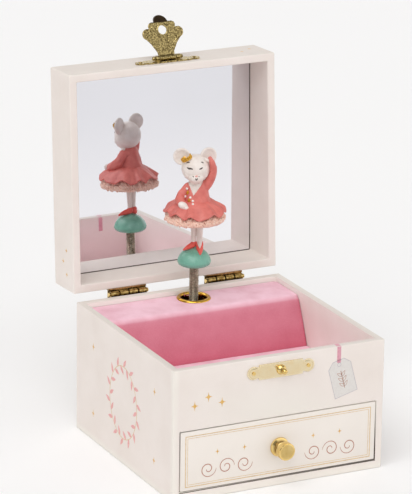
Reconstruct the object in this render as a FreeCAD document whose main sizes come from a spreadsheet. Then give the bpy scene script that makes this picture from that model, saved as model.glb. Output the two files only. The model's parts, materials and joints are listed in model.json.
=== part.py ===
import FreeCAD, Part
import math
import os
import re
import Sketcher
from FreeCAD import Placement, Rotation, Vector

# A wind up music box: a paper covered wooden case with a tray, a drawer and a hinged mirror lid.
# A clockwork movement behind the drawer turns a dancing figure on a spring stem.
# The origin is the middle of the case's underside, +Z is up and the front faces -Y.
# The model stands with its lid open, so the lid's pieces are built closed and then swung open.

SIZES = {
    # Case
    "case_width": 110.0,
    "case_depth": 108.0,
    "case_height": 64.5,
    "board": 3.7,
    "bottom_board": 4.5,
    "opening_top": 34.2,
    "shelf_low": 34.5,
    "shelf_board": 2.7,
    "tray_floor": 40.0,
    "tray_back": 15.1,
    "partition_board": 3.2,
    "pad_gap": 0.2,
    # Velvet covered deck over the movement
    "deck_top": 62.5,
    "deck_board": 3.0,
    "deck_front": 28.2,
    "deck_round_x": 24.3,
    "deck_round_z": 60.0,
    # Lid, measured in its closed place
    "lid_gap": 0.3,
    "lid_height": 22.6,
    "lid_board": 4.1,
    "lid_panel": 1.8,
    "mirror_glass": 1.1,
    "lid_open_angle": 93.2,
    # Stop hinges
    "hinge_setback": 2.6,
    "hinge_rise": 0.2,
    "hinge_spread": 26.2,
    "hinge_half": 10.0,
    "knuckle_pitch": 5.0,
    "knuckle_gap": 0.1,
    "knuckle_radius": 1.5,
    "knuckle_bore": 0.65,
    "hinge_pin_radius": 0.6,
    "leaf_brass": 0.8,
    "leaf_height": 11.0,
    "nail_spread": 6.0,
    "nail_drop": 7.0,
    "nail_radius": 0.5,
    "nail_head": 1.1,
    # Hasp and strike
    "strike_height": 57.7,
    "stud_radius": 2.0,
    "stud_neck": 1.2,
    "plate_brass": 0.7,
    "hasp_pivot_height": 71.4,
    "hasp_pivot_out": 1.9,
    "hasp_knuckle": 1.2,
    "hasp_pin_radius": 0.45,
    "hasp_metal": 0.9,
    "hasp_reach": 13.7,
    "hasp_hole": 2.25,
    "hasp_open_angle": 110.8,
    # Drawer
    "drawer_gap": 0.35,
    "drawer_front_board": 4.0,
    "drawer_board": 2.5,
    "drawer_bottom_board": 2.2,
    "drawer_side_top": 30.0,
    "drawer_back": 11.5,
    "felt": 1.0,
    "knob_height": 19.4,
    "knob_screw_radius": 1.5,
    # Axis of the spindle and the figure
    "stage_x": 2.1,
    "stage_y": 41.9,
    "eyelet_inner": 6.0,
    "eyelet_outer": 8.2,
    "stem_radius": 2.3,
    "stem_bore": 1.65,
    "stem_foot": 59.5,
    "stem_bend": 63.6,
    "stem_gap": 0.02,
    "stem_top": 79.4,
    "dome_low": 79.5,
    "dome_waist": 81.7,
    "dome_radius": 8.2,
    "dome_top": 88.2,
    "figure_turn": -20.0,
    "waist_radius": 3.0,
    # Movement
    "drum_x": 11.8,
    "drum_y": 36.0,
    "drum_radius": 6.5,
    "drum_low": 28.5,
    "drum_high": 48.5,
    "barrel_z": 17.0,
    "barrel_radius": 11.0,
    "barrel_back": 47.8,
    "barrel_front": 40.0,
    "arbor_radius": 1.6,
    "plate_front": 48.3,
    "gear_low": 51.3,
    "gear_high": 53.3,
    "worm_z": 54.8,
    "stop_x": 7.2,
    "stop_wire": 0.6,
}

WHEEL_TEETH = 24
GOVERNOR_TEETH = 12
CROWN_TEETH = 24
PINION_TEETH = 8
TUNE_TEETH = 18
CROWN_MODULE = 0.8

doc = FreeCAD.newDocument("MusicBox")
sheet = doc.addObject("Spreadsheet::Sheet", "Sizes")
for row, (alias, value) in enumerate(SIZES.items(), start=1):
    sheet.set("A%d" % row, alias)
    sheet.set("B%d" % row, str(value))
    sheet.setAlias("B%d" % row, alias)
doc.recompute()

nodes = []


# Sizes and expressions ---------------------------------------------------------------------------

def linked(expression):
    """The expression with the name of each size pointing at the sheet."""
    return re.sub(r"\b([a-z]\w*)", r"Sizes.\1", str(expression))


def number(expression):
    """The value that an expression has now, in millimetres."""
    return float(sheet.evalExpression(linked(expression)))


def bind(thing, **formulas):
    for name, expression in formulas.items():
        thing.setExpression(name, linked(expression))


def put(thing, x, y, z):
    for axis, expression in zip("xyz", (x, y, z)):
        thing.setExpression("Placement.Base." + axis, linked(expression))


def node(piece):
    """Marks a finished piece as a sub-part that gets a file of its own."""
    nodes.append(piece)
    return piece


# Primitives and booleans -------------------------------------------------------------------------

ALONG = {
    "x": Rotation(Vector(0, 1, 0), 90),
    "y": Rotation(Vector(1, 0, 0), -90),
    "z": Rotation(),
}


def block(label, x, y, z):
    """A box between a low and a high expression on each axis."""
    box = doc.addObject("Part::Box", label)
    for side, (low, high) in zip(("Length", "Width", "Height"), (x, y, z)):
        box.setExpression(side, linked("(%s) - (%s)" % (high, low)))
    put(box, x[0], y[0], z[0])
    return box


def rod(label, axis, radius, span, centre):
    """A cylinder along an axis; centre holds the other two coordinates in x, y, z order."""
    cylinder = doc.addObject("Part::Cylinder", label)
    cylinder.Placement = Placement(Vector(), ALONG[axis])
    bind(cylinder, Radius=radius, Height="(%s) - (%s)" % (span[1], span[0]))
    corner = list(centre)
    corner.insert("xyz".index(axis), span[0])
    put(cylinder, *corner)
    return cylinder


def ball(label, radius, x, y, z):
    sphere = doc.addObject("Part::Sphere", label)
    bind(sphere, Radius=radius)
    put(sphere, x, y, z)
    return sphere


def limb(label, start, end, start_radius, end_radius):
    """A round bar between two points, tapered if its two radii differ."""
    start, end = Vector(*start), Vector(*end)
    if start_radius == end_radius:
        bar = doc.addObject("Part::Cylinder", label)
        bar.Radius = start_radius
    else:
        bar = doc.addObject("Part::Cone", label)
        bar.Radius1 = start_radius
        bar.Radius2 = end_radius
    bar.Height = (end - start).Length
    bar.Placement = Placement(start, Rotation(Vector(0, 0, 1), end - start))
    return bar


def fuse(label, pieces):
    joined = doc.addObject("Part::MultiFuse", label)
    joined.Shapes = pieces
    return joined


def cut(label, base, tools):
    result = doc.addObject("Part::Cut", label)
    result.Base = base
    result.Tool = tools[0] if len(tools) == 1 else fuse(label + "_tools", tools)
    return result


def group(label, pieces):
    """Separate solids that share one node, such as identical fasteners."""
    compound = doc.addObject("Part::Compound", label)
    compound.Links = pieces
    return compound


# Sketched features -------------------------------------------------------------------------------

def origin_plane(body, role):
    return next(feature for feature in body.Origin.OriginFeatures if feature.Role == role)


def pin_point(sketch, geometry, position, u, v):
    """Holds a sketch point at two expressions, measured from the sketch's origin."""
    for kind, axis_line, expression in (("DistanceX", -2, u), ("DistanceY", -1, v)):
        value = number(expression)
        if abs(value) < 1e-9:
            sketch.addConstraint(Sketcher.Constraint("PointOnObject", geometry, position, axis_line))
            continue
        index = sketch.addConstraint(Sketcher.Constraint(kind, -1, 1, geometry, position, value))
        sketch.setExpression("Constraints[%d]" % index, linked(expression))


def draw_polygon(sketch, points):
    """A closed outline; a third entry on a point makes the edge that ends there an arc through it."""
    count = len(points)
    ends = []
    for index, point in enumerate(points):
        before = points[index - 1]
        start = Vector(number(before[0]), number(before[1]), 0)
        end = Vector(number(point[0]), number(point[1]), 0)
        if len(point) == 2:
            geometry = sketch.addGeometry(Part.LineSegment(start, end))
            ends.append((geometry, 1, 2))
            continue
        middle = Vector(number(point[2][0]), number(point[2][1]), 0)
        turns_left = (middle - start).cross(end - middle).z > 0
        arc = (Part.Arc(start, middle, end) if turns_left else Part.Arc(end, middle, start)).toShape()
        geometry = sketch.addGeometry(Part.ArcOfCircle(arc.Curve, arc.FirstParameter, arc.LastParameter))
        centre = arc.Curve.Center
        if abs(end.y - start.y) > 1e-6:
            sketch.addConstraint(Sketcher.Constraint("DistanceX", -1, 1, geometry, 3, centre.x))
        else:
            sketch.addConstraint(Sketcher.Constraint("DistanceY", -1, 1, geometry, 3, centre.y))
        ends.append((geometry, 1, 2) if turns_left else (geometry, 2, 1))
    for index in range(count):
        geometry, _, tail = ends[index]
        following, head, _ = ends[(index + 1) % count]
        sketch.addConstraint(Sketcher.Constraint("Coincident", geometry, tail, following, head))
        pin_point(sketch, geometry, tail, points[index][0], points[index][1])


def draw_circle(sketch, u, v, radius):
    circle = Part.Circle(Vector(number(u), number(v), 0), Vector(0, 0, 1), number(radius))
    geometry = sketch.addGeometry(circle)
    index = sketch.addConstraint(Sketcher.Constraint("Radius", geometry, number(radius)))
    sketch.setExpression("Constraints[%d]" % index, linked(radius))
    pin_point(sketch, geometry, 3, u, v)


def sketch_on(body, role, height="0"):
    """A sketch on one of the body's own origin planes, raised along the plane's normal."""
    sketch = body.newObject("Sketcher::SketchObject", body.Name + "_sketch")
    sketch.AttachmentSupport = [(origin_plane(body, role), "")]
    sketch.MapMode = "FlatFace"
    sketch.setExpression("AttachmentOffset.Base.z", linked(height))
    return sketch


def pad(body, sketch, length):
    feature = body.newObject("PartDesign::Pad", body.Name + "_pad")
    feature.Profile = sketch
    bind(feature, Length=length)
    body.Tip = feature
    return feature


def extruded(label, role, points, length):
    """A body padded from one outline."""
    body = doc.addObject("PartDesign::Body", label)
    sketch = sketch_on(body, role)
    draw_polygon(sketch, points)
    pad(body, sketch, length)
    return body


def turned(label, role, axis, points):
    """A body revolved about its sketch's H_Axis or V_Axis."""
    body = doc.addObject("PartDesign::Body", label)
    sketch = sketch_on(body, role)
    draw_polygon(sketch, points)
    feature = body.newObject("PartDesign::Revolution", label + "_turn")
    feature.Profile = sketch
    feature.ReferenceAxis = (sketch, [axis])
    feature.Angle = 360
    body.Tip = feature
    return body


def add_teeth(body, outline, height, thickness, count):
    """Pads one tooth on the XY plane and repeats it about the body's Z axis."""
    sketch = sketch_on(body, "XY_Plane", height)
    draw_polygon(sketch, outline)
    tooth = pad(body, sketch, thickness)
    pattern = body.newObject("PartDesign::PolarPattern", body.Name + "_teeth")
    pattern.Originals = [tooth]
    pattern.Axis = (sketch, ["N_Axis"])
    pattern.Angle = 360
    pattern.Occurrences = count
    body.Tip = pattern


def gear(label, teeth, pitch_radius, addendum, dedendum, thickness):
    """A spur gear about Z with its first tooth along +X and slack between the teeth."""
    root = pitch_radius - dedendum
    tip = pitch_radius + addendum
    width = 0.4 * 2 * math.pi * pitch_radius / teeth
    body = doc.addObject("PartDesign::Body", label)
    disc = sketch_on(body, "XY_Plane")
    draw_circle(disc, 0, 0, root)
    pad(body, disc, thickness)
    outline = [
        (root - 0.4, -0.6 * width),
        (tip, -0.36 * width),
        (tip, 0.36 * width),
        (root - 0.4, 0.6 * width),
    ]
    add_teeth(body, outline, 0, thickness, teeth)
    return body


# Case --------------------------------------------------------------------------------------------

HALF_DEPTH = "case_depth / 2"
INNER_WIDTH = "case_width / 2 - board"
INNER_DEPTH = "case_depth / 2 - board"
HINGE_SIDES = (-1, 1)


def across(half):
    """A span from minus to plus an expression."""
    return ("-(%s)" % half, half)


def side_wall(label, side):
    outer = "%d * case_width / 2" % side
    inner = "%d * (case_width / 2 - board)" % side
    span = (outer, inner) if side < 0 else (inner, outer)
    node(block(label, span, across(HALF_DEPTH), (0, "case_height")))


def movement_screw_places():
    return [("drum_x + %g" % dx, dz) for dx in (-27.5, 15.5) for dz in (10, 47)]


def nail_places(height):
    return [("%d * hinge_spread + %d * nail_spread" % (side, step), height)
            for side in HINGE_SIDES for step in (-1, 1)]


CASE_NAIL_HEIGHT = "case_height - nail_drop"


def back_wall():
    blank = block("back_wall_board", across(INNER_WIDTH), (INNER_DEPTH, HALF_DEPTH), (0, "case_height"))
    holes = [rod("key_hole", "y", 4, (INNER_DEPTH, HALF_DEPTH), ("drum_x", "barrel_z"))]
    for index, place in enumerate(movement_screw_places()):
        holes.append(rod("screw_hole_%d" % index, "y", 1.3, (INNER_DEPTH, HALF_DEPTH), place))
    for index, place in enumerate(nail_places(CASE_NAIL_HEIGHT)):
        holes.append(rod("nail_hole_%d" % index, "y", "nail_radius", ("case_depth / 2 - 3", HALF_DEPTH), place))
    holes.append(block("stop_groove", ("stop_x - 0.9", "stop_x + 0.9"),
                       (INNER_DEPTH, "case_depth / 2 - 0.9"), (54, "case_height")))
    node(cut("back_wall", blank, holes))


def front_panel():
    blank = block("front_panel_board", across(INNER_WIDTH), ("-case_depth / 2", "-case_depth / 2 + board"),
                  ("opening_top", "case_height"))
    through = ("-case_depth / 2", "-case_depth / 2 + board")
    holes = [rod("stud_hole", "y", "stud_neck", through, (0, "strike_height"))]
    for side in HINGE_SIDES:
        holes.append(rod("strike_pin_hole", "y", 0.5, ("-case_depth / 2", "-case_depth / 2 + 3"),
                         ("%d * 14.2" % side, "strike_height")))
    node(cut("front_panel", blank, holes))


def case_boards():
    side_wall("left_wall", -1)
    side_wall("right_wall", 1)
    back_wall()
    front_panel()
    node(block("bottom_panel", across(INNER_WIDTH), ("-case_depth / 2", INNER_DEPTH), (0, "bottom_board")))
    node(block("tray_shelf", across(INNER_WIDTH), ("-case_depth / 2 + board", "tray_back"),
               ("shelf_low", "shelf_low + shelf_board")))
    node(block("rear_partition", across(INNER_WIDTH), ("tray_back", "tray_back + partition_board"),
               ("bottom_board", "shelf_low + shelf_board")))


def deck():
    """Velvet over card: a level deck with a rounded front edge and a slope down to the tray."""
    points = [
        ("tray_back", "shelf_low + shelf_board"),
        ("tray_back + partition_board", "shelf_low + shelf_board"),
        ("tray_back + 12.4", "deck_top - deck_board"),
        ("case_depth / 2 - board - pad_gap", "deck_top - deck_board"),
        ("case_depth / 2 - board - pad_gap", "deck_top"),
        ("deck_front", "deck_top"),
        ("deck_round_x", "deck_round_z", (25.6, 61.8)),
        ("tray_back", "tray_floor"),
    ]
    velvet = extruded("deck_velvet", "YZ_Plane", points, "case_width - 2 * board - 2 * pad_gap")
    put(velvet, "-case_width / 2 + board + pad_gap", 0, 0)
    hole = rod("deck_hole", "z", "eyelet_inner + 0.65", (55, 65), ("stage_x", "stage_y"))
    node(cut("deck_pad", velvet, [hole]))
    node(block("tray_pad", across("case_width / 2 - board - pad_gap"),
               ("-case_depth / 2 + board + pad_gap", "tray_back - 0.1"),
               ("shelf_low + shelf_board", "tray_floor")))


def grommet():
    """A brass eyelet with a rolled rim, turned about the spindle's axis."""
    points = [
        ("eyelet_inner", "deck_top - deck_board"),
        ("eyelet_inner + 0.6", "deck_top - deck_board"),
        ("eyelet_inner + 0.6", "deck_top"),
        ("eyelet_outer", "deck_top"),
        ("eyelet_outer - 1", "deck_top + 0.8", ("eyelet_outer - 0.25", "deck_top + 0.55")),
        ("eyelet_inner + 0.7", "deck_top + 0.8"),
        ("eyelet_inner", "deck_top + 0.1", ("eyelet_inner + 0.2", "deck_top + 0.6")),
    ]
    eyelet = turned("grommet", "XZ_Plane", "V_Axis", points)
    put(eyelet, "stage_x", "stage_y", 0)
    node(eyelet)


def lobed_plate(label, half_length, half_height, height, back):
    """A brass plate against a face at y = back, with round ends and a pin hole in each."""
    span = ("%s - plate_brass" % back, back)
    middle = block(label + "_middle", across("%s - 6" % half_length), span,
                   ("%s - %s" % (height, half_height), "%s + %s" % (height, half_height)))
    neck = block(label + "_neck", across("%s - 4" % half_length), span,
                 ("%s - %s * 0.72" % (height, half_height), "%s + %s * 0.72" % (height, half_height)))
    ends = []
    holes = []
    for side in HINGE_SIDES:
        centre = ("%d * (%s - 3.1)" % (side, half_length), height)
        ends.append(rod(label + "_lobe", "y", "%s * 0.86" % half_height, span, centre))
        holes.append(rod(label + "_pin_hole", "y", 0.5, span, centre))
    return fuse(label + "_blank", [middle, neck] + ends), holes


def headed_pin(label, axis_place, face, length):
    """A small round headed pin driven in from the front; face is the plate's outer face."""
    shank = rod(label + "_shank", "y", 0.5, (face, "%s + %s" % (face, length)), axis_place)
    head = rod(label + "_head", "y", 0.85, ("%s - 0.4" % face, face), axis_place)
    return fuse(label, [head, shank])


def strike():
    blank, holes = lobed_plate("strike", "17.3", "3.7", "strike_height", "-case_depth / 2")
    holes.append(rod("strike_stud_hole", "y", "stud_neck", ("-case_depth / 2 - 2", "-case_depth / 2 + 1"),
                     (0, "strike_height")))
    node(cut("strike_plate", blank, holes))
    neck = rod("strike_stud_neck", "y", "stud_neck", ("-case_depth / 2 - 3.5", "-case_depth / 2 + board"),
               (0, "strike_height"))
    knob = ball("strike_stud_ball", "stud_radius", 0, "-case_depth / 2 - 3.5", "strike_height")
    collar = rod("strike_stud_collar", "y", 2.2, ("-case_depth / 2 - plate_brass - 0.6",
                                                  "-case_depth / 2 - plate_brass"), (0, "strike_height"))
    node(fuse("strike_stud", [neck, knob, collar]))
    pins = [headed_pin("strike_pin_%d" % index, ("%d * 14.2" % side, "strike_height"),
                       "-case_depth / 2 - plate_brass", 3)
            for index, side in enumerate(HINGE_SIDES)]
    node(group("strike_pins", pins))


# Lid ---------------------------------------------------------------------------------------------

HINGE_Y = "case_depth / 2 + hinge_setback"
HINGE_Z = "case_height + hinge_rise"
LID_LOW = "case_height + lid_gap"
LID_HIGH = "case_height + lid_gap + lid_height"
LID_NAIL_HEIGHT = "case_height + nail_drop"


def swing(angle, y, z):
    """The placement that opens a piece by an angle about an axis along X."""
    return Placement(Vector(), Rotation(Vector(1, 0, 0), -angle), Vector(0, number(y), number(z)))


LID_SWING = swing(SIZES["lid_open_angle"], HINGE_Y, HINGE_Z)


def on_lid(label, pieces):
    """The lid's pieces, built closed, in their open place."""
    seated = group(label, pieces)
    seated.Placement = LID_SWING
    return node(seated)


def lid_boards():
    inner_width = "case_width / 2 - lid_board"
    inner_depth = "case_depth / 2 - lid_board"
    height = (LID_LOW, LID_HIGH)
    for label, side in (("lid_left_rail", -1), ("lid_right_rail", 1)):
        outer = "%d * case_width / 2" % side
        inner = "%d * (%s)" % (side, inner_width)
        span = (outer, inner) if side < 0 else (inner, outer)
        on_lid(label, [block(label + "_board", span, across(HALF_DEPTH), height)])
    front = block("lid_front_board", across(inner_width), ("-case_depth / 2", "-(%s)" % inner_depth), height)
    front_holes = [rod("hasp_pin_hole", "y", 0.5, ("-case_depth / 2", "-case_depth / 2 + 3"),
                       ("%d * 14.4" % side, "hasp_pivot_height")) for side in HINGE_SIDES]
    on_lid("lid_front_rail", [cut("lid_front_drilled", front, front_holes)])
    back = block("lid_back_board", across(inner_width), (inner_depth, HALF_DEPTH), height)
    back_holes = [rod("lid_nail_hole_%d" % index, "y", "nail_radius", ("case_depth / 2 - 3", HALF_DEPTH), place)
                  for index, place in enumerate(nail_places(LID_NAIL_HEIGHT))]
    on_lid("lid_back_rail", [cut("lid_back_drilled", back, back_holes)])
    panel_low = LID_HIGH + " - lid_panel"
    on_lid("lid_panel", [block("lid_panel_board", across(inner_width), across(inner_depth),
                               (panel_low, LID_HIGH))])
    on_lid("mirror", [block("mirror_sheet", across(inner_width), across(inner_depth),
                            (panel_low + " - mirror_glass", panel_low))])


# Hinges ------------------------------------------------------------------------------------------

def knuckle_span(side, index):
    start = "%d * hinge_spread - hinge_half + %d * knuckle_pitch" % (side, index)
    return (start + " + knuckle_gap", start + " + knuckle_pitch - knuckle_gap")


def leaf_width(side):
    return ("%d * hinge_spread - hinge_half" % side, "%d * hinge_spread + hinge_half" % side)


def case_leaf(side):
    """A leaf on the back wall whose lip, behind the knuckles, stops the lid as it opens."""
    name = "case_leaf_%s" % ("left" if side < 0 else "right")
    width = leaf_width(side)
    under = HINGE_Z + " - knuckle_radius - 0.3"
    plate = block(name + "_plate", width, (HALF_DEPTH, "case_depth / 2 + leaf_brass"),
                  ("case_height - leaf_height", under))
    shelf = block(name + "_shelf", width, (HALF_DEPTH, HINGE_Y + " + 2.4"), (under + " - leaf_brass", under))
    lip = block(name + "_lip", width, (HINGE_Y + " + 1.6", HINGE_Y + " + 2.4"),
                (under + " - leaf_brass", HINGE_Z + " + 1.5"))
    solids = [plate, shelf, lip]
    for index in (0, 2):
        span = knuckle_span(side, index)
        solids.append(rod(name + "_knuckle", "x", "knuckle_radius", span, (HINGE_Y, HINGE_Z)))
        solids.append(block(name + "_web", span, (HINGE_Y + " - 0.4", HINGE_Y + " + 0.4"),
                            (under, HINGE_Z + " - 0.9")))
    tools = [rod(name + "_bore", "x", "knuckle_bore", width, (HINGE_Y, HINGE_Z))]
    for index, step in enumerate((-1, 1)):
        place = ("%d * hinge_spread + %d * nail_spread" % (side, step), CASE_NAIL_HEIGHT)
        tools.append(rod(name + "_nail_%d" % index, "y", "nail_radius", (HALF_DEPTH, HINGE_Y), place))
    return cut(name, fuse(name + "_blank", solids), tools)


def lid_leaf(side):
    """A leaf on the lid's back rail, with arms over the axis to its own knuckles."""
    name = "lid_leaf_%s" % ("left" if side < 0 else "right")
    low = HINGE_Z + " + 0.7"
    solids = [block(name + "_plate", leaf_width(side), (HALF_DEPTH, "case_depth / 2 + leaf_brass"),
                    (low, "case_height + leaf_height"))]
    for index in (1, 3):
        span = knuckle_span(side, index)
        solids.append(rod(name + "_knuckle", "x", "knuckle_radius", span, (HINGE_Y, HINGE_Z)))
        solids.append(block(name + "_arm", span, (HALF_DEPTH, HINGE_Y), (low, HINGE_Z + " + 1.5")))
    tools = [rod(name + "_bore", "x", "knuckle_bore", leaf_width(side), (HINGE_Y, HINGE_Z))]
    for index, step in enumerate((-1, 1)):
        place = ("%d * hinge_spread + %d * nail_spread" % (side, step), LID_NAIL_HEIGHT)
        tools.append(rod(name + "_nail_%d" % index, "y", "nail_radius", (HALF_DEPTH, HINGE_Y), place))
    return cut(name, fuse(name + "_blank", solids), tools)


def hinge_pin(side):
    name = "hinge_pin_%s" % ("left" if side < 0 else "right")
    centre = "%d * hinge_spread" % side
    solids = [rod(name + "_shank", "x", "hinge_pin_radius", (centre + " - hinge_half - 0.2",
                                                             centre + " + hinge_half + 0.2"), (HINGE_Y, HINGE_Z))]
    solids.append(rod(name + "_head", "x", 1, (centre + " - hinge_half - 0.5", centre + " - hinge_half"),
                      (HINGE_Y, HINGE_Z)))
    solids.append(rod(name + "_tail", "x", 1, (centre + " + hinge_half", centre + " + hinge_half + 0.5"),
                      (HINGE_Y, HINGE_Z)))
    return fuse(name, solids)


def nail(label, place):
    face = "case_depth / 2 + leaf_brass"
    shank = rod(label + "_shank", "y", "nail_radius", ("case_depth / 2 - 3", face), place)
    head = rod(label + "_head", "y", "nail_head", (face, face + " + 0.5"), place)
    return fuse(label, [shank, head])


def hinges():
    node(group("hinge_case_leaves", [case_leaf(side) for side in HINGE_SIDES]))
    on_lid("hinge_lid_leaves", [lid_leaf(side) for side in HINGE_SIDES])
    node(group("hinge_pins", [hinge_pin(side) for side in HINGE_SIDES]))
    node(group("hinge_case_nails", [nail("case_nail_%d" % index, place)
                                    for index, place in enumerate(nail_places(CASE_NAIL_HEIGHT))]))
    on_lid("hinge_lid_nails", [nail("lid_nail_%d" % index, place)
                               for index, place in enumerate(nail_places(LID_NAIL_HEIGHT))])


# Hasp --------------------------------------------------------------------------------------------

HASP_Y = "-case_depth / 2 - hasp_pivot_out"
HASP_Z = "hasp_pivot_height"


def hasp_plate():
    blank, holes = lobed_plate("hasp_base", "17.5", "3", HASP_Z, "-case_depth / 2")
    solids = [blank]
    for side in HINGE_SIDES:
        span = sorted((side * 4.4, side * 6.4))
        solids.append(rod("hasp_base_knuckle", "x", "hasp_knuckle", span, (HASP_Y, HASP_Z)))
        solids.append(block("hasp_base_web", span, (HASP_Y, "-case_depth / 2 - plate_brass"),
                            (HASP_Z + " - 0.8", HASP_Z + " + 0.8")))
    holes.append(rod("hasp_base_bore", "x", "hasp_pin_radius", (-8, 8), (HASP_Y, HASP_Z)))
    on_lid("hasp_plate", [cut("hasp_base_plate", fuse("hasp_base", solids), holes)])
    pins = [headed_pin("hasp_plate_pin_%d" % index, ("%d * 14.4" % side, HASP_Z),
                       "-case_depth / 2 - plate_brass", 3)
            for index, side in enumerate(HINGE_SIDES)]
    on_lid("hasp_plate_pins", pins)
    shank = rod("hasp_pivot_shank", "x", "hasp_pin_radius", (-7.2, 7.2), (HASP_Y, HASP_Z))
    ends = [ball("hasp_pivot_ball", 1, side * 7.2, HASP_Y, HASP_Z) for side in HINGE_SIDES]
    on_lid("hasp_pin", [fuse("hasp_pivot_pin", [shank] + ends)])


def hasp():
    """A stamped fan that hangs from its pivot when latched, with a hole for the stud and a finger tab."""
    outer = HASP_Y + " - hasp_knuckle"
    span = (outer, outer + " + hasp_metal")
    half_outline = [(4.1, 0), (4.4, -3), (6.6, -6.8), (9.2, -9.8), (9.2, -13), (6.8, -15), (6.8, -16.5), (4.5, -17.8)]
    outline = half_outline + [(-x, z) for x, z in half_outline[::-1]]
    fan = extruded("hasp_fan", "XZ_Plane", outline, "hasp_metal")
    put(fan, 0, span[1], HASP_Z)

    def disc(label, radius, x, distance, depth=span):
        return rod(label, "y", radius, depth, (x, HASP_Z + " - %g" % distance))

    solids = [
        fan,
        rod("hasp_barrel", "x", "hasp_knuckle", (-4.1, 4.1), (HASP_Y, HASP_Z)),
        disc("hasp_tab", 3.5, 0, 17.9, (outer + " - 0.3", outer + " + hasp_metal")),
    ]
    for side in HINGE_SIDES:
        solids.append(disc("hasp_wing", 2.7, side * 8.1, 12.1))
        solids.append(disc("hasp_shoulder", 2, side * 5.1, 15.8))
    tools = [
        rod("hasp_stud_hole", "y", "hasp_hole", (outer + " - 1", outer + " + 2"), (0, HASP_Z + " - hasp_reach")),
        rod("hasp_pivot_bore", "x", "hasp_pin_radius + 0.05", (-8, 8), (HASP_Y, HASP_Z)),
    ]
    shell = cut("hasp_latched", fuse("hasp_blank", solids), tools)
    opened = group("hasp", [shell])
    opened.Placement = LID_SWING.multiply(swing(SIZES["hasp_open_angle"], HASP_Y, HASP_Z))
    node(opened)


# Drawer ------------------------------------------------------------------------------------------

DRAWER_LOW = "bottom_board + drawer_gap"


def drawer():
    outer = "case_width / 2 - board - drawer_gap"
    inner = "case_width / 2 - board - drawer_gap - drawer_board"
    behind_front = "-case_depth / 2 + drawer_front_board"
    front_y = ("-case_depth / 2", behind_front)
    panel = block("drawer_front_board", across(outer), front_y, (DRAWER_LOW, "opening_top - drawer_gap"))
    hole = rod("knob_screw_hole", "y", "knob_screw_radius", front_y, (0, "knob_height"))
    node(cut("drawer_front", panel, [hole]))
    for label, side in (("drawer_left_side", -1), ("drawer_right_side", 1)):
        edges = ["%d * (%s)" % (side, edge) for edge in (outer, inner)]
        span = edges if side < 0 else edges[::-1]
        node(block(label, span, (behind_front, "drawer_back"), (DRAWER_LOW, "drawer_side_top")))
    node(block("drawer_back", across(inner), ("drawer_back - drawer_board", "drawer_back"),
               (DRAWER_LOW, "drawer_side_top")))
    floor_top = DRAWER_LOW + " + drawer_bottom_board"
    node(block("drawer_bottom", across(inner), (behind_front, "drawer_back - drawer_board"),
               (DRAWER_LOW, floor_top)))
    node(block("drawer_liner", across(inner + " - 0.3"), (behind_front + " + 0.3",
                                                          "drawer_back - drawer_board - 0.3"),
               (floor_top, floor_top + " + felt")))


def knob():
    """A turned brass knob: a flange on the drawer front, a waist and a flat head."""
    points = [
        (0, 0),
        (0, 4.75),
        (-1.1, 4.75),
        (-1.7, 4.1, (-1.55, 4.5)),
        (-2.9, 2.9, (-2.1, 3.1)),
        (-4.3, 2.9),
        (-5.2, 3.9, (-5.0, 3.2)),
        (-5.5, 4.3, (-5.3, 4.15)),
        (-7.9, 4.3),
        (-8.4, 3.8, (-8.25, 4.15)),
        (-8.4, 0),
    ]
    head = turned("knob_turned", "YZ_Plane", "H_Axis", points)
    put(head, 0, "-case_depth / 2", "knob_height")
    shank = ("-case_depth / 2 - 5.5", "-case_depth / 2 + drawer_front_board")
    thread = rod("knob_thread", "y", "knob_screw_radius", shank, (0, "knob_height"))
    node(cut("knob", head, [thread]))
    inside = "-case_depth / 2 + drawer_front_board"
    screw = rod("knob_screw_shank", "y", "knob_screw_radius", shank, (0, "knob_height"))
    screw_head = rod("knob_screw_head", "y", 3, (inside, inside + " + 1.6"), (0, "knob_height"))
    slot = block("knob_screw_slot", (-3, 3), (inside + " + 1", inside + " + 1.7"),
                 ("knob_height - 0.4", "knob_height + 0.4"))
    node(cut("knob_screw", fuse("knob_screw_blank", [screw, screw_head]), [slot]))


# Figure ------------------------------------------------------------------------------------------

STAGE = ("stage_x", "stage_y")


def stem():
    """The close wound spring in two lengths; the upper one tips forward about the front of its lowest turn."""
    for name, low, high in (("foot", "stem_foot", "stem_bend - stem_gap"), ("stem", "stem_bend", "stem_top")):
        coil = rod(name + "_coil", "z", "stem_radius", (low, high), STAGE)
        bore = rod(name + "_bore", "z", "stem_bore", (low, high), STAGE)
        node(cut(name + "_spring", coil, [bore]))


DOME_RISE = SIZES["dome_top"] - SIZES["dome_waist"]
DOME_CAP_RADIUS = (SIZES["dome_radius"] ** 2 + DOME_RISE ** 2) / (2 * DOME_RISE)


def dome():
    """The green base under the figure's shoes: flat beneath with a rounded brim, and a ball's cap above."""
    brim = turned("dome_brim", "XZ_Plane", "V_Axis", [
        (0, "dome_low"),
        ("dome_radius - 1.9", "dome_low"),
        ("dome_radius", "dome_waist", ("dome_radius - 0.45", "dome_low + 0.7")),
        (0, "dome_waist"),
    ])
    put(brim, *STAGE, 0)
    cap = ball("dome_cap", DOME_CAP_RADIUS, *STAGE, "dome_top - %r" % DOME_CAP_RADIUS)
    cap.Angle1 = math.degrees(math.asin(1 - DOME_RISE / DOME_CAP_RADIUS))
    node(fuse("dome_base", [brim, cap]))


def facing(piece):
    """Turns a piece that was built facing -Y about the figure's axis."""
    piece.Placement = Placement(Vector(number("stage_x"), number("stage_y"), 0),
                                Rotation(Vector(0, 0, 1), SIZES["figure_turn"]))
    return node(piece)


JOINT_BULGE = 1.06


def capsule(label, start, end, start_radius, end_radius):
    """A limb with a slightly wider ball at either end."""
    return [
        limb(label, start, end, start_radius, end_radius),
        ball(label + "_start", start_radius * JOINT_BULGE, *start),
        ball(label + "_end", end_radius * JOINT_BULGE, *end),
    ]


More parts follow.
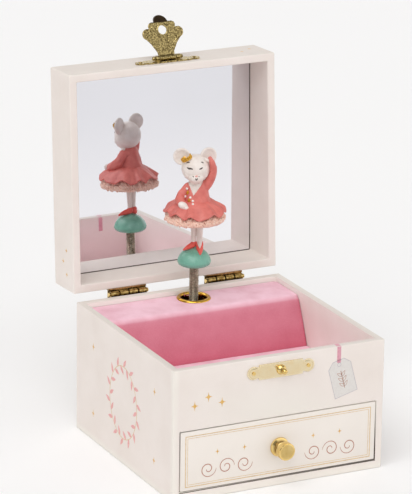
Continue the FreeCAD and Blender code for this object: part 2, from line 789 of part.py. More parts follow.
def ear(label, centre):
    """A thick round disc on the head, facing forward."""
    x, y, z = centre
    return rod(label, "y", 4.1, (y - 1, y + 1), (x, z))


def mouse_dancer():
    """Legs and shoes with a core through both skirts, joined to torso, head, ears and arms."""
    waist = SIZES["waist_radius"]
    elbow_left = (-8.1, -0.6, 115.3)
    elbow_right = (7.6, -1.6, 125.6)
    chest = (0.4, 0, 118.2)
    lower = [
        limb("leg_left", (-1.3, 0.2, 87.4), (-1.7, 0.4, 105), 1.1, 1.6),
        limb("leg_right", (1.7, -0.2, 87.4), (1.9, 0.2, 105), 1.2, 1.7),
        limb("core", (0, 0, 101.5), (0, 0, 114), waist, waist),
    ]
    lower += capsule("shoe_left", (-1.5, 0.1, 89), (-5.3, -2.3, 87), 1.2, 0.7)
    lower += capsule("shoe_right", (1.8, -0.4, 89), (1.5, -5.0, 87.1), 1.2, 0.7)
    seat = ball("dome_seat", DOME_CAP_RADIUS, 0, 0, "dome_top - %r" % DOME_CAP_RADIUS)
    upper = [
        limb("bodice", (0.2, 0, 113.4), chest, 4.2, 4.7),
        ball("chest", 4.7, *chest),
        limb("neck", (0, 0, 119.5), (0, 0, 124), 2.2, 2.2),
        ball("head", 6.9, -0.3, -0.2, 128.3),
        ball("muzzle", 2.4, -0.8, -5.6, 125.2),
        ball("nose", 0.6, -1.1, -7.9, 126.2),
        ear("ear_left", (-7.0, 1.0, 133.5)),
        ear("ear_right", (5.8, 0.2, 133.6)),
        limb("forearm_left", elbow_left, (-6.9, -7.2, 114), 1.7, 1.2),
        ball("paw_left", 1.7, -6.9, -7.6, 113.9),
        limb("forearm_right", elbow_right, (6.2, -2.2, 133.2), 1.7, 1.3),
        ball("paw_right", 1.3, 6.2, -2.2, 133.2),
    ]
    upper += capsule("upper_arm_left", (-4.6, -0.2, 118.9), elbow_left, 1.8, 1.8)
    upper += capsule("upper_arm_right", (4.6, -0.6, 119.4), elbow_right, 1.9, 1.8)
    legs = fuse("mouse_lower", lower)
    torso = fuse("mouse_upper", upper)
    standing = cut("mouse_legs", legs, [seat])
    figure = fuse("mouse_solids", [standing, torso])
    facing(group("mouse_dancer", [figure]))


def skirts():
    """Two shells of revolution that flare from the waist, one over the other."""
    skirt = turned("skirt_shell", "XZ_Plane", "V_Axis", [
        ("waist_radius", 113.3),
        (4.2, 113.0),
        (15.8, 108.2, (10.2, 112.0)),
        (15.6, 106.4),
        (14.6, 106.4),
        (4.0, 111.2, (9.8, 110.3)),
        ("waist_radius", 111.3),
    ])
    facing(group("skirt", [skirt]))
    lace = turned("underskirt_shell", "XZ_Plane", "V_Axis", [
        ("waist_radius", 111.0),
        (4.0, 110.8),
        (14.4, 105.8, (9.4, 109.6)),
        (15.2, 103.0),
        (14.2, 101.8),
        (4.0, 108.4, (9.4, 106.8)),
        ("waist_radius", 108.6),
    ])
    facing(group("underskirt", [lace]))


# Movement ----------------------------------------------------------------------------------------

DRUM = ("drum_x", "drum_y")
DRUM_TO_STAGE = Vector(SIZES["stage_x"] - SIZES["drum_x"], SIZES["stage_y"] - SIZES["drum_y"], 0)
WHEEL_RADIUS = DRUM_TO_STAGE.Length / 2
GOVERNOR_PINION = WHEEL_RADIUS * GOVERNOR_TEETH / WHEEL_TEETH
GOVERNOR_X = SIZES["drum_x"] + WHEEL_RADIUS + GOVERNOR_PINION
WORM_WHEEL = 4.2
WORM_RADIUS = 1.5
WORM_X = GOVERNOR_X + WORM_WHEEL + WORM_RADIUS
WORM_PITCH = 2 * math.pi * WORM_WHEEL / GOVERNOR_TEETH
PIVOT_BORE = 0.65


def bedplate():
    """An upright plate on the back wall with a shelf that carries the upright arbors."""
    solids = [
        block("bedplate_upright", (-20, 31), ("plate_front", INNER_DEPTH), (6, 52)),
        block("bedplate_ear", (22, 31), ("plate_front", INNER_DEPTH), (52, 57)),
        block("bedplate_shelf", (-3, 22.6), (31, "plate_front"), (49.3, 50.8)),
        block("comb_seat", (-17, -10), ("drum_y + 0.9", "plate_front"), (30, 47)),
    ]
    tools = [
        rod("drum_pivot_hole", "z", 1.05, (49, 51), DRUM),
        rod("spindle_hole", "z", 1.55, (49, 51), STAGE),
        rod("governor_hole", "z", 0.85, (49, 51), (GOVERNOR_X, "drum_y")),
        rod("worm_pivot_hole", "y", PIVOT_BORE, ("plate_front", INNER_DEPTH), (WORM_X, "worm_z")),
        rod("arbor_hole", "y", "arbor_radius + 0.05", ("plate_front", INNER_DEPTH), ("drum_x", "barrel_z")),
    ]
    for place in movement_screw_places():
        tools.append(rod("bedplate_screw_hole", "y", 1.3, ("plate_front", INNER_DEPTH), place))
    for height in (34, 43):
        tools.append(rod("comb_screw_hole", "y", 1, ("drum_y", 42), (-13.5, height)))
    node(cut("bedplate", fuse("bedplate_blank", solids), tools))


def movement_screws():
    screws = []
    for index, place in enumerate(movement_screw_places()):
        shank = rod("movement_shank_%d" % index, "y", 1.3, ("plate_front", HALF_DEPTH), place)
        head = rod("movement_head_%d" % index, "y", 2.6, (HALF_DEPTH, "case_depth / 2 + 1.3"), place)
        across_slot = block("movement_slot_%d" % index, (place[0] + " - 3", place[0] + " + 3"),
                            ("case_depth / 2 + 0.8", "case_depth / 2 + 1.4"),
                            ("%g - 0.35" % place[1], "%g + 0.35" % place[1]))
        screws.append(cut("movement_screw_%d" % index, fuse("movement_blank_%d" % index, [shank, head]),
                          [across_slot]))
    node(group("movement_screws", screws))


def comb():
    """A steel comb whose tuned teeth reach the drum, longest at the bottom."""
    plane = ("drum_y", "drum_y + 0.9")
    tip = "drum_x - drum_radius - 0.4"
    solids = [block("comb_body", (-17, -9), plane, (29.2, 47.8))]
    for index in range(TUNE_TEETH):
        low = 29.6 + index
        root = -10 + 0.35 * index
        solids.append(block("comb_tooth_%d" % index, (root, tip), plane, (low, low + 0.74)))
        if root > -9:
            solids.append(block("comb_land_%d" % index, (-9.5, root + 0.1), plane, (low - 0.26, low + 1)))
    tools = [rod("comb_hole_%d" % height, "y", 1, plane, (-13.5, height)) for height in (34, 43)]
    node(cut("comb", fuse("comb_blank", solids), tools))
    screws = []
    for height in (34, 43):
        shank = rod("comb_shank_%d" % height, "y", 1, ("drum_y", 42), (-13.5, height))
        head = rod("comb_head_%d" % height, "y", 1.9, ("drum_y - 1.2", "drum_y"), (-13.5, height))
        screws.append(fuse("comb_screw_%d" % height, [shank, head]))
    node(group("comb_screws", screws))


def barrel():
    """The mainspring barrel about Y, with crown teeth on its front face."""
    depth = "barrel_back - barrel_front"
    drum = turned("barrel", "XZ_Plane", "V_Axis", [
        ("arbor_radius + 0.05", 0),
        ("barrel_radius", 0),
        ("barrel_radius", depth),
        ("arbor_radius + 0.05", depth),
        ("arbor_radius + 0.05", depth + " - 0.8"),
        ("barrel_radius - 0.8", depth + " - 0.8"),
        ("barrel_radius - 0.8", 0.8),
        ("arbor_radius + 0.05", 0.8),
    ])
    pitch_radius = CROWN_MODULE * CROWN_TEETH / 2
    tooth = [
        (pitch_radius - 1.2, -0.45),
        (pitch_radius + 1.2, -0.45),
        (pitch_radius + 1.2, 0.45),
        (pitch_radius - 1.2, 0.45),
    ]
    add_teeth(drum, tooth, depth, 1.2, CROWN_TEETH)
    half_tooth = Rotation(Vector(0, 0, 1), 180 / CROWN_TEETH)
    drum.Placement = Placement(Vector(), Rotation(Vector(1, 0, 0), 90).multiply(half_tooth))
    put(drum, "drum_x", "barrel_back", "barrel_z")
    node(drum)


def mainspring():
    """A flat steel strip wound as a spiral inside the barrel."""
    inner, outer, turns, strip = 2.4, 9.6, 9, 0.3
    steps = 24 * turns

    def edge(offset):
        points = []
        for step in range(steps + 1):
            angle = 2 * math.pi * turns * step / steps
            radius = inner + (outer - inner) * step / steps + offset
            points.append(Vector(radius * math.cos(angle), 0, radius * math.sin(angle)))
        curve = Part.BSplineCurve()
        curve.interpolate(points)
        return curve.toShape(), points[0], points[-1]

    near, near_start, near_end = edge(0)
    far, far_start, far_end = edge(strip)
    outline = Part.Wire([near, Part.makeLine(near_end, far_end), far, Part.makeLine(far_start, near_start)])
    spiral = doc.addObject("Part::Feature", "mainspring")
    spiral.Shape = Part.Face(outline).extrude(Vector(0, -5.4, 0))
    spiral.Placement = Placement(Vector(number("drum_x"), number("barrel_back - 1.2"), number("barrel_z")),
                                 Rotation())
    node(spiral)


def key():
    """The winding arbor and the wing key behind the back wall."""
    centre = ("drum_x", "barrel_z")
    node(rod("winding_arbor", "y", "arbor_radius", ("barrel_front + 0.6", "case_depth / 2 + 4"), centre))
    hub = rod("key_hub", "y", 3, ("case_depth / 2 + 0.8", "case_depth / 2 + 6"), centre)
    wing = block("key_wing", ("drum_x - 6", "drum_x + 6"), ("case_depth / 2 + 5", "case_depth / 2 + 14"),
                 ("barrel_z - 1", "barrel_z + 1"))
    ends = [rod("key_lobe", "z", 4.5, ("barrel_z - 1", "barrel_z + 1"),
                ("drum_x + %d * 6" % side, "case_depth / 2 + 9.5")) for side in HINGE_SIDES]
    tools = [rod("key_bore", "y", "arbor_radius", ("case_depth / 2", "case_depth / 2 + 4"), centre)]
    tools += [rod("key_eye", "z", 2.2, ("barrel_z - 2", "barrel_z + 2"),
                  ("drum_x + %d * 6" % side, "case_depth / 2 + 9.5")) for side in HINGE_SIDES]
    node(cut("winding_key", fuse("key_blank", [hub, wing] + ends), tools))


def barrel_bridge():
    """A bridge in front of the barrel that carries the foot of the drum's arbor."""
    low, high = 21, 23.5
    solids = [
        block("bridge_bar", ("drum_x - 14", "drum_x + 14"), (33.5, 38.3), (low, high)),
        block("bridge_leg_left", ("drum_x - 14", "drum_x - 12"), (38.3, "plate_front"), (low, high)),
        block("bridge_leg_right", ("drum_x + 12", "drum_x + 14"), (38.3, "plate_front"), (low, high)),
    ]
    hole = rod("bridge_hole", "z", 1.05, (low, high), DRUM)
    node(cut("barrel_bridge", fuse("bridge_blank", solids), [hole]))


def pinned_drum():
    """The tune drum: pins, an arbor, the pinion that the barrel drives and the gear on top."""
    solids = [
        rod("drum_body", "z", "drum_radius", ("drum_low", "drum_high"), DRUM),
        rod("drum_arbor", "z", 1, (21.5, "gear_high"), DRUM),
    ]
    for index in range(2 * TUNE_TEETH):
        line = index % TUNE_TEETH
        angle = 137.5 * index + 11 * (index // TUNE_TEETH)
        pin = rod("drum_pin_%d" % index, "x", 0.22, ("drum_radius - 0.4", "drum_radius + 0.25"),
                  (0, 29.97 + line))
        turn = Placement(Vector(number("drum_x"), number("drum_y"), 0), Rotation(Vector(0, 0, 1), angle))
        seated = group("drum_pin_seat_%d" % index, [pin])
        seated.Placement = turn
        solids.append(seated)
    pinion = gear("drum_pinion", PINION_TEETH, CROWN_MODULE * PINION_TEETH / 2, 0.5, 0.7, 2.4)
    put(pinion, *DRUM, "barrel_z + %g" % (CROWN_MODULE * CROWN_TEETH / 2 - 1.2))
    solids.append(pinion)
    wheel = gear("drum_wheel", WHEEL_TEETH, WHEEL_RADIUS, 0.4, 0.6, "gear_high - gear_low")
    put(wheel, *DRUM, "gear_low")
    solids.append(wheel)
    node(fuse("pinned_cylinder", solids))


def spindle():
    """The spindle under the eyelet, turned by the drum's wheel, with a peg in the foot of the spring."""
    pitch = 360 / WHEEL_TEETH
    line = math.degrees(math.atan2(DRUM_TO_STAGE.y, DRUM_TO_STAGE.x))
    offset = pitch * round(line / pitch) - line
    wheel = gear("spindle_wheel", WHEEL_TEETH, WHEEL_RADIUS, 0.4, 0.6, "gear_high - gear_low")
    wheel.Placement = Placement(Vector(), Rotation(Vector(0, 0, 1), line + 180 - offset + pitch / 2))
    put(wheel, *STAGE, "gear_low")
    solids = [
        wheel,
        rod("spindle_shaft", "z", 1.5, (46, "stem_foot - 0.1"), STAGE),
        rod("spindle_peg", "z", "stem_radius", (55.5, "stem_foot - 0.1"), STAGE),
        rod("spindle_collar", "z", 2.4, (47.5, 49), STAGE),
    ]
    node(fuse("spindle", solids))


def governor():
    """The wheel that the drum drives, the worm with its fly, and their bracket."""
    centre = (GOVERNOR_X, "drum_y")
    pinion = gear("governor_pinion", GOVERNOR_TEETH, GOVERNOR_PINION, 0.4, 0.6, "gear_high - gear_low")
    pinion.Placement = Placement(Vector(), Rotation(Vector(0, 0, 1), 180 / GOVERNOR_TEETH))
    put(pinion, *centre, "gear_low")
    wheel = gear("governor_worm_wheel", GOVERNOR_TEETH, WORM_WHEEL, 0.5, 0.6, 1.2)
    put(wheel, *centre, "worm_z - 0.6")
    arbor = rod("governor_arbor", "z", 0.8, (49.5, 57.4), centre)
    node(fuse("governor_wheel", [pinion, wheel, arbor]))

    start = SIZES["drum_y"] - WORM_PITCH
    helix = Part.makeHelix(WORM_PITCH, 2 * WORM_PITCH, 0.6)
    profile = Part.makePolygon([
        Vector(0.6, 0, -0.4),
        Vector(WORM_RADIUS + 0.4, 0, -0.22),
        Vector(WORM_RADIUS + 0.4, 0, 0.22),
        Vector(0.6, 0, 0.4),
        Vector(0.6, 0, -0.4),
    ])
    thread = doc.addObject("Part::Feature", "worm_thread")
    thread.Shape = Part.Wire(helix).makePipeShell([profile], True, True)
    thread.Placement = Placement(Vector(WORM_X, start, SIZES["worm_z"]), ALONG["y"])
    axis = (WORM_X, "worm_z")
    solids = [
        rod("worm_shaft", "y", 0.6, (30.3, 49.5), axis),
        rod("worm_core", "y", 0.85, (start - 0.6, start + 2 * WORM_PITCH + 0.6), axis),
        thread,
        rod("fly_hub", "y", 1, (41, 46.9), axis),
        rod("brake_disc", "y", 1.5, (46.1, 46.9), axis),
        block("fly_vane", (WORM_X - 3.8, WORM_X + 3.8), (41.2, 45.4), ("worm_z - 0.3", "worm_z + 0.3")),
    ]
    node(fuse("worm_fly", solids))

    upright = block("bracket_upright", (17, 29), (29.8, 31), (49.3, 59))
    top = block("bracket_top", (17.6, 23.6), (31, 38.5), (57.6, 59))
    holes = [
        rod("bracket_worm_hole", "y", PIVOT_BORE, (29.8, 31), axis),
        rod("bracket_arbor_hole", "z", 0.85, (57, 60), centre),
    ]
    node(cut("governor_bracket", fuse("bracket_blank", [upright, top]), holes))


def stop_wire():
    """A bent wire: its top stands above the back wall, and its arm ends over the fly's brake disc."""
    arm_y = 46.5
    arm_z = 58.7
    groove_y = "case_depth / 2 - 1.9"
    solids = [
        rod("stop_upright", "z", "stop_wire", (arm_z, "case_height + 1.5"), ("stop_x", groove_y)),
        ball("stop_bend", "stop_wire", "stop_x", groove_y, arm_z),
        rod("stop_reach", "y", "stop_wire", (arm_y, groove_y), ("stop_x", arm_z)),
        ball("stop_corner", "stop_wire", "stop_x", arm_y, arm_z),
        rod("stop_arm", "x", "stop_wire", ("stop_x", WORM_X), (arm_y, arm_z)),
        rod("stop_tip", "z", 0.4, (57.9, arm_z), (WORM_X, arm_y)),
    ]
    node(fuse("stop_wire", solids))


# Assembly ----------------------------------------------------------------------------------------

case_boards()
deck()
grommet()
strike()
lid_boards()
hinges()
hasp_plate()
hasp()
drawer()
knob()
stem()
dome()
mouse_dancer()
skirts()
bedplate()
movement_screws()
comb()
barrel()
mainspring()
key()
barrel_bridge()
pinned_drum()
spindle()
governor()
stop_wire()
doc.recompute()

for thing in doc.Objects:
    if "Invalid" in thing.State or "Error" in thing.State:
        raise RuntimeError("%s failed: %s" % (thing.Label, thing.State))

os.makedirs("parts", exist_ok=True)
for piece in nodes:
    shape = piece.Shape
    if shape.isNull() or not shape.isValid() or not shape.Solids:
        raise RuntimeError("%s has no valid shape" % piece.Label)
    shape.exportStep("parts/%s.step" % piece.Label)
    print("%-20s %2d solid %10.1f mm3" % (piece.Label, len(shape.Solids), shape.Volume))
print(len(nodes), "sub-parts")
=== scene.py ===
"""The looks of a paper covered music box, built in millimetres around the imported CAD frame."""
import itertools
import json
import math

import bmesh
import bpy
import numpy as np
from mathutils import Matrix, Vector, noise
from mathutils.bvhtree import BVHTree
from mathutils.geometry import tessellate_polygon

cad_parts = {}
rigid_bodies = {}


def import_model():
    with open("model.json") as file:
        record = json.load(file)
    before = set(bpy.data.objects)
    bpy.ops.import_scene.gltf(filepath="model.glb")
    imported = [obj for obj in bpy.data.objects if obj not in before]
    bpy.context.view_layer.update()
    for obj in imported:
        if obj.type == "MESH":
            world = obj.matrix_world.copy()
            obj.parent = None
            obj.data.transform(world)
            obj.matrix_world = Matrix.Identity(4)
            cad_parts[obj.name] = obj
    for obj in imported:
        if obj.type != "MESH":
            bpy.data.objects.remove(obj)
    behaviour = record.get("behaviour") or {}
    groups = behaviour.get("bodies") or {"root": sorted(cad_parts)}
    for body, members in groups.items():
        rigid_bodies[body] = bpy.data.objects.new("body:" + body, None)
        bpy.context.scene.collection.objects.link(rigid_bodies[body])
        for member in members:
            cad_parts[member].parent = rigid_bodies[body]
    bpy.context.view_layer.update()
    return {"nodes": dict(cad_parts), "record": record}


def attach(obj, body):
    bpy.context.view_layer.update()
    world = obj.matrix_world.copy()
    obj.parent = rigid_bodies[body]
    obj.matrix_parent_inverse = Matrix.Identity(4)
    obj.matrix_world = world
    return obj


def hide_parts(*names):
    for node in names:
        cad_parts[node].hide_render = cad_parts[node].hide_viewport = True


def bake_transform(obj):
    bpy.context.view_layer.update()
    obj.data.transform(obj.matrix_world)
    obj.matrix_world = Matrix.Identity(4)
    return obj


for leftover in list(bpy.data.objects):
    bpy.data.objects.remove(leftover)
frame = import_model()
MM = 0.001
JOINTS = {joint["name"]: joint for joint in frame["record"]["behaviour"]["joints"]}
INSET = 0.07        # printed foil stands this far proud of a board and still lies inside the CAD box


# Frames of reference -----------------------------------------------------------------------------

def about_x(pivot, degrees):
    return Matrix.Translation(pivot) @ Matrix.Rotation(math.radians(degrees), 4, "X") @ Matrix.Translation(-pivot)


def joint_place(name):
    return Vector(JOINTS[name]["pos_m"]) / MM


OPEN_ANGLE = JOINTS["lid_hinge"]["range_deg"][1]
LID = about_x(joint_place("lid_hinge"), -OPEN_ANGLE)
STAGE = joint_place("figure_spin")
FIGURE_TURN = -20
FIGURE = Matrix.Translation((STAGE.x, STAGE.y, 0)) @ Matrix.Rotation(math.radians(FIGURE_TURN), 4, "Z")
HERE = Matrix.Identity(4)


def span(node, place=HERE):
    """Lowest and highest corner of a CAD node in millimetres, in the frame that place carries to its own."""
    back = np.array(place.inverted())
    points = np.array([v.co for v in frame["nodes"][node].data.vertices]) / MM
    points = points @ back[:3, :3].T + back[:3, 3]
    return points.min(0), points.max(0)


# Meshes ------------------------------------------------------------------------------------------

def joined_boxes(boxes, holes=()):
    """The outer skin of a union of boxes with some boxes taken out, as one closed grid of quads."""
    lines = [sorted({round(float(c), 4) for low, high in list(boxes) + list(holes) for c in (low[a], high[a])})
             for a in range(3)]

    def inside(cell, group):
        middle = [(lines[a][cell[a]] + lines[a][cell[a] + 1]) / 2 for a in range(3)]
        return any(all(low[a] < middle[a] < high[a] for a in range(3)) for low, high in group)

    size = [len(line) - 1 for line in lines]
    full = {cell for cell in itertools.product(*map(range, size)) if inside(cell, boxes) and not inside(cell, holes)}
    verts, index, faces = [], {}, []
    for cell in sorted(full):
        for axis, step in itertools.product(range(3), (0, 1)):
            near = list(cell)
            near[axis] += 2 * step - 1
            if tuple(near) in full:
                continue
            loop = []
            for first, second in ((0, 0), (1, 0), (1, 1), (0, 1)):
                corner = list(cell)
                corner[axis] += step
                corner[(axis + 1) % 3] += first
                corner[(axis + 2) % 3] += second
                if tuple(corner) not in index:
                    index[tuple(corner)] = len(verts)
                    verts.append(tuple(lines[a][corner[a]] for a in range(3)))
                loop.append(index[tuple(corner)])
            faces.append(loop if step else loop[::-1])
    return verts, faces


def lathe(profile, segments=96, ring=False, wave=None):
    """A profile of (radius, height) turned about Z. wave(angle, row) may move a point by (out, up)."""
    verts, rows, faces = [], [], []
    for number, (radius, height) in enumerate(profile):
        if radius < 1e-6:
            rows.append([len(verts)])
            verts.append((0, 0, height))
            continue
        rows.append(list(range(len(verts), len(verts) + segments)))
        for k in range(segments):
            angle = 2 * math.pi * k / segments
            out, up = wave(angle, number) if wave else (0, 0)
            verts.append(((radius + out) * math.cos(angle), (radius + out) * math.sin(angle), height + up))
    for lower, upper in zip(rows, rows[1:] + (rows[:1] if ring else [])):
        for k in range(segments):
            quad = [lower[k % len(lower)], lower[(k + 1) % segments % len(lower)],
                    upper[(k + 1) % segments % len(upper)], upper[k % len(upper)]]
            face = [v for n, v in enumerate(quad) if v not in quad[:n]]
            if len(face) > 2:
                faces.append(face)
    return verts, faces


def rounded(points, steps=6):
    """A smooth line through points of any dimension, by Catmull and Rom's rule."""
    points = [np.array(p, float) for p in points]
    padded = [2 * points[0] - points[1]] + points + [2 * points[-1] - points[-2]]
    line = []
    for a, b, c, d in zip(padded, padded[1:], padded[2:], padded[3:]):
        for k in range(steps):
            t = k / steps
            line.append(0.5 * (2 * b + (c - a) * t + (2 * a - 5 * b + 4 * c - d) * t * t
                               + (3 * b - a - 3 * c + d) * t ** 3))
    return line + [points[-1]]


def tube(path, segments=16, domed=True):
    """A closed round bar along points of (x, y, z, radius), with domed or flat ends."""
    path = [np.array(p, float) for p in path]
    if domed:
        first = (path[0][:3] - path[1][:3]) / np.linalg.norm(path[0][:3] - path[1][:3])
        last = (path[-1][:3] - path[-2][:3]) / np.linalg.norm(path[-1][:3] - path[-2][:3])
        turns = [math.radians(a) for a in (80, 60, 40, 20)]
        head = [np.append(path[0][:3] + first * path[0][3] * math.sin(a), path[0][3] * math.cos(a)) for a in turns]
        tail = [np.append(path[-1][:3] + last * path[-1][3] * math.sin(a), path[-1][3] * math.cos(a))
                for a in turns[::-1]]
        path = head + path + tail
    verts, faces = [], []
    across = None
    for k, point in enumerate(path):
        ahead = path[min(k + 1, len(path) - 1)][:3] - path[max(k - 1, 0)][:3]
        ahead = Vector(ahead).normalized()
        if across is None:
            across = ahead.orthogonal().normalized()
        across = (across - ahead * across.dot(ahead)).normalized()
        other = ahead.cross(across)
        for s in range(segments):
            a = 2 * math.pi * s / segments
            verts.append(tuple(Vector(point[:3]) + (across * math.cos(a) + other * math.sin(a)) * point[3]))
        if k:
            for s in range(segments):
                n = (s + 1) % segments
                low, high = (k - 1) * segments, k * segments
                faces.append([low + s, low + n, high + n, high + s])
    faces.append(list(range(segments))[::-1])
    faces.append([len(verts) - segments + s for s in range(segments)])
    return verts, faces


def egg(centre, radii, turn=HERE, segments=40):
    profile = [(math.sin(math.pi * k / 24), -math.cos(math.pi * k / 24)) for k in range(25)]
    profile[0], profile[-1] = (0, -1), (0, 1)
    verts, faces = lathe(profile, segments)
    place = Matrix.Translation(centre) @ turn @ Matrix.Diagonal((*radii, 1))
    return [tuple(place @ Vector(v)) for v in verts], faces


def moved(shape, place):
    verts, faces = shape
    return [tuple(place @ Vector(v)) for v in verts], faces


def together(*shapes):
    verts, faces = [], []
    for some_verts, some_faces in shapes:
        faces += [[len(verts) + i for i in face] for face in some_faces]
        verts += list(some_verts)
    return verts, faces


def raw(name, shape):
    """An object in millimetres, not yet in the row frame."""
    mesh = bpy.data.meshes.new(name)
    mesh.from_pydata([tuple(map(float, v)) for v in shape[0]], [], shape[1])
    bm = bmesh.new()
    bm.from_mesh(mesh)
    bmesh.ops.recalc_face_normals(bm, faces=bm.faces)
    bm.to_mesh(mesh)
    bm.free()
    piece = bpy.data.objects.new(name, mesh)
    bpy.context.scene.collection.objects.link(piece)
    return piece


def modify(piece, kind, **settings):
    """Adds one modifier and applies it."""
    modifier = piece.modifiers.new(kind, kind)
    for name, value in settings.items():
        setattr(modifier, name, value)
    bpy.context.view_layer.update()
    mesh = bpy.data.meshes.new_from_object(piece.evaluated_get(bpy.context.evaluated_depsgraph_get()))
    piece.modifiers.clear()
    old, piece.data = piece.data, mesh
    mesh.name = piece.name
    bpy.data.meshes.remove(old)
    return piece


def placed(piece, look, body=None, place=HERE, sharp=35):
    """Puts a piece made in millimetres into the row frame, gives it its look and lets it ride on a body."""
    mesh = piece.data
    mesh.transform(Matrix.Scale(MM, 4) @ place)
    mesh.shade_smooth()
    mesh.set_sharp_from_angle(angle=math.radians(sharp))
    for finish in look if isinstance(look, list) else [look]:
        mesh.materials.append(finish)
    if body:
        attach(piece, body)
    return piece


def clay(name, shapes, voxel=0.22, smoothing=6):
    """Solids that cross each other, melted into one smooth skin."""
    piece = raw(name, together(*shapes))
    modify(piece, "REMESH", mode="VOXEL", voxel_size=voxel)
    return modify(piece, "SMOOTH", factor=0.5, iterations=smoothing)


def shift(piece, rule):
    """Moves every vertex by rule(position, normal)."""
    moves = [rule(v.co.copy(), v.normal.copy()) for v in piece.data.vertices]
    for vertex, move in zip(piece.data.vertices, moves):
        vertex.co += move
    piece.data.update()


def paint(piece, rule):
    """Gives each face the material whose number rule(centre, normal) returns."""
    for face in piece.data.polygons:
        face.material_index = rule(face.center, face.normal)


def smoothstep(low, high, value):
    t = min(max((value - low) / (high - low), 0), 1)
    return t * t * (3 - 2 * t)


# Materials ---------------------------------------------------------------------------------------

def srgb(red, green, blue):
    """The linear colour of an sRGB colour given from 0 to 255."""
    return tuple(c / 12.92 if c <= 0.04045 else ((c + 0.055) / 1.055) ** 2.4
                 for c in (v / 255 for v in (red, green, blue))) + (1,)


class Look:
    """A Principled material with helpers for the nodes that drive it."""

    def __init__(self, name, **sockets):
        self.material = bpy.data.materials.new(name)
        self.material.use_nodes = True
        self.nodes = self.material.node_tree.nodes
        self.shader = self.nodes["Principled BSDF"]
        for socket, value in sockets.items():
            self.shader.inputs[socket.replace("_", " ")].default_value = value
        self.place = self.node("TexCoord").outputs["Object"]

    def node(self, kind, **settings):
        made = self.nodes.new("ShaderNode" + kind)
        for name, value in settings.items():
            setattr(made, name, value)
        return made

    def link(self, source, target):
        self.material.node_tree.links.new(source, target)

    def noise(self, per_mm, detail=3, stretch=None, rough=0.55):
        place = self.place
        if stretch:
            mapping = self.node("Mapping")
            mapping.inputs["Scale"].default_value = stretch
            self.link(place, mapping.inputs["Vector"])
            place = mapping.outputs["Vector"]
        made = self.node("TexNoise")
        made.inputs["Scale"].default_value = per_mm / MM
        made.inputs["Detail"].default_value = detail
        made.inputs["Roughness"].default_value = rough
        self.link(place, made.inputs["Vector"])
        return made.outputs["Fac"]

    def cells(self, per_mm, feature="F1"):
        made = self.node("TexVoronoi", feature=feature)
        made.inputs["Scale"].default_value = per_mm / MM
        self.link(self.place, made.inputs["Vector"])
        return made.outputs["Distance"]

    def ramp(self, source, *stops):
        made = self.node("ValToRGB")
        elements = made.color_ramp.elements
        while len(elements) < len(stops):
            elements.new(0.5)
        for element, (position, colour) in zip(elements, stops):
            element.position = position
            element.color = colour if isinstance(colour, tuple) else (colour, colour, colour, 1)
        self.link(source, made.inputs["Fac"])
        return made.outputs["Color"]

    def mix(self, factor, first, second):
        made = self.node("Mix", data_type="RGBA")
        for socket, value in (("Factor", factor), ("A", first), ("B", second)):
            index = {"Factor": 0, "A": 6, "B": 7}[socket]
            if isinstance(value, (tuple, float, int)):
                made.inputs[index].default_value = value
            else:
                self.link(value, made.inputs[index])
        return made.outputs[2]

    def wear(self, low, high):
        """White along outer edges and black in hollows, from low to high pointiness."""
        return self.ramp(self.node("NewGeometry").outputs["Pointiness"], (low, 0.0), (high, 1.0))

    def colour(self, source):
        self.link(source, self.shader.inputs["Base Color"])
        return self

    def rough(self, source, low, high):
        self.link(self.ramp(source, (0.3, low), (0.7, high)), self.shader.inputs["Roughness"])
        return self

    def bump(self, source, depth_mm, strength=1.0):
        """Adds relief of that depth on top of what is there."""
        made = self.node("Bump")
        made.inputs["Distance"].default_value = depth_mm * MM
        made.inputs["Strength"].default_value = strength
        self.link(source, made.inputs["Height"])
        if self.shader.inputs["Normal"].is_linked:
            self.link(self.shader.inputs["Normal"].links[0].from_socket, made.inputs["Normal"])
        self.link(made.outputs["Normal"], self.shader.inputs["Normal"])
        return self


def paper(name, light, dark, grain=2.2):
    """Matt coated paper: cloudy colour, fine fibres, slightly rubbed edges and painted shade that greys the faces which
    look up.
    """
    look = Look(name, Specular_IOR_Level=0.35)
    cloud = look.mix(look.ramp(look.noise(0.05, 4), (0.35, 0.0), (0.7, 1.0)), light, dark)
    rubbed = look.mix(look.wear(0.52, 0.60), cloud, srgb(240, 234, 226))
    axes = look.node("SeparateXYZ")
    look.link(look.node("TexCoord").outputs["Normal"], axes.inputs["Vector"])
    # painted shade: faces that look up are mixed towards grey brown, darker than the paper's own colour
    painted_top_shade = look.mix(look.ramp(axes.outputs["Z"], (0.6, 0.0), (0.95, 0.35)), rubbed, srgb(204, 198, 190))
    look.colour(painted_top_shade).rough(look.noise(0.3), 0.52, 0.68)
    look.bump(look.noise(grain, 4, (1, 1, 0.4)), 0.02, 0.6).bump(look.noise(0.15, 2), 0.05, 0.4)
    return look.material


def metal(name, light, dark, low, high, scratch=1.2, hollow=None, relief=0.01, blotch=0.25):
    """Brass or steel: tarnish in hollows, bright edges, fine scratches."""
    look = Look(name, Metallic=1.0)
    patina = look.mix(look.ramp(look.noise(blotch, 5), (0.35, 0.0), (0.65, 1.0)), light, dark)
    if hollow:
        patina = look.mix(look.wear(0.44, 0.53), hollow, patina)
    look.colour(patina).rough(look.noise(0.6, 5), low, high)
    look.bump(look.noise(scratch, 3, (1, 1, 6)), relief, 0.5)
    return look.material


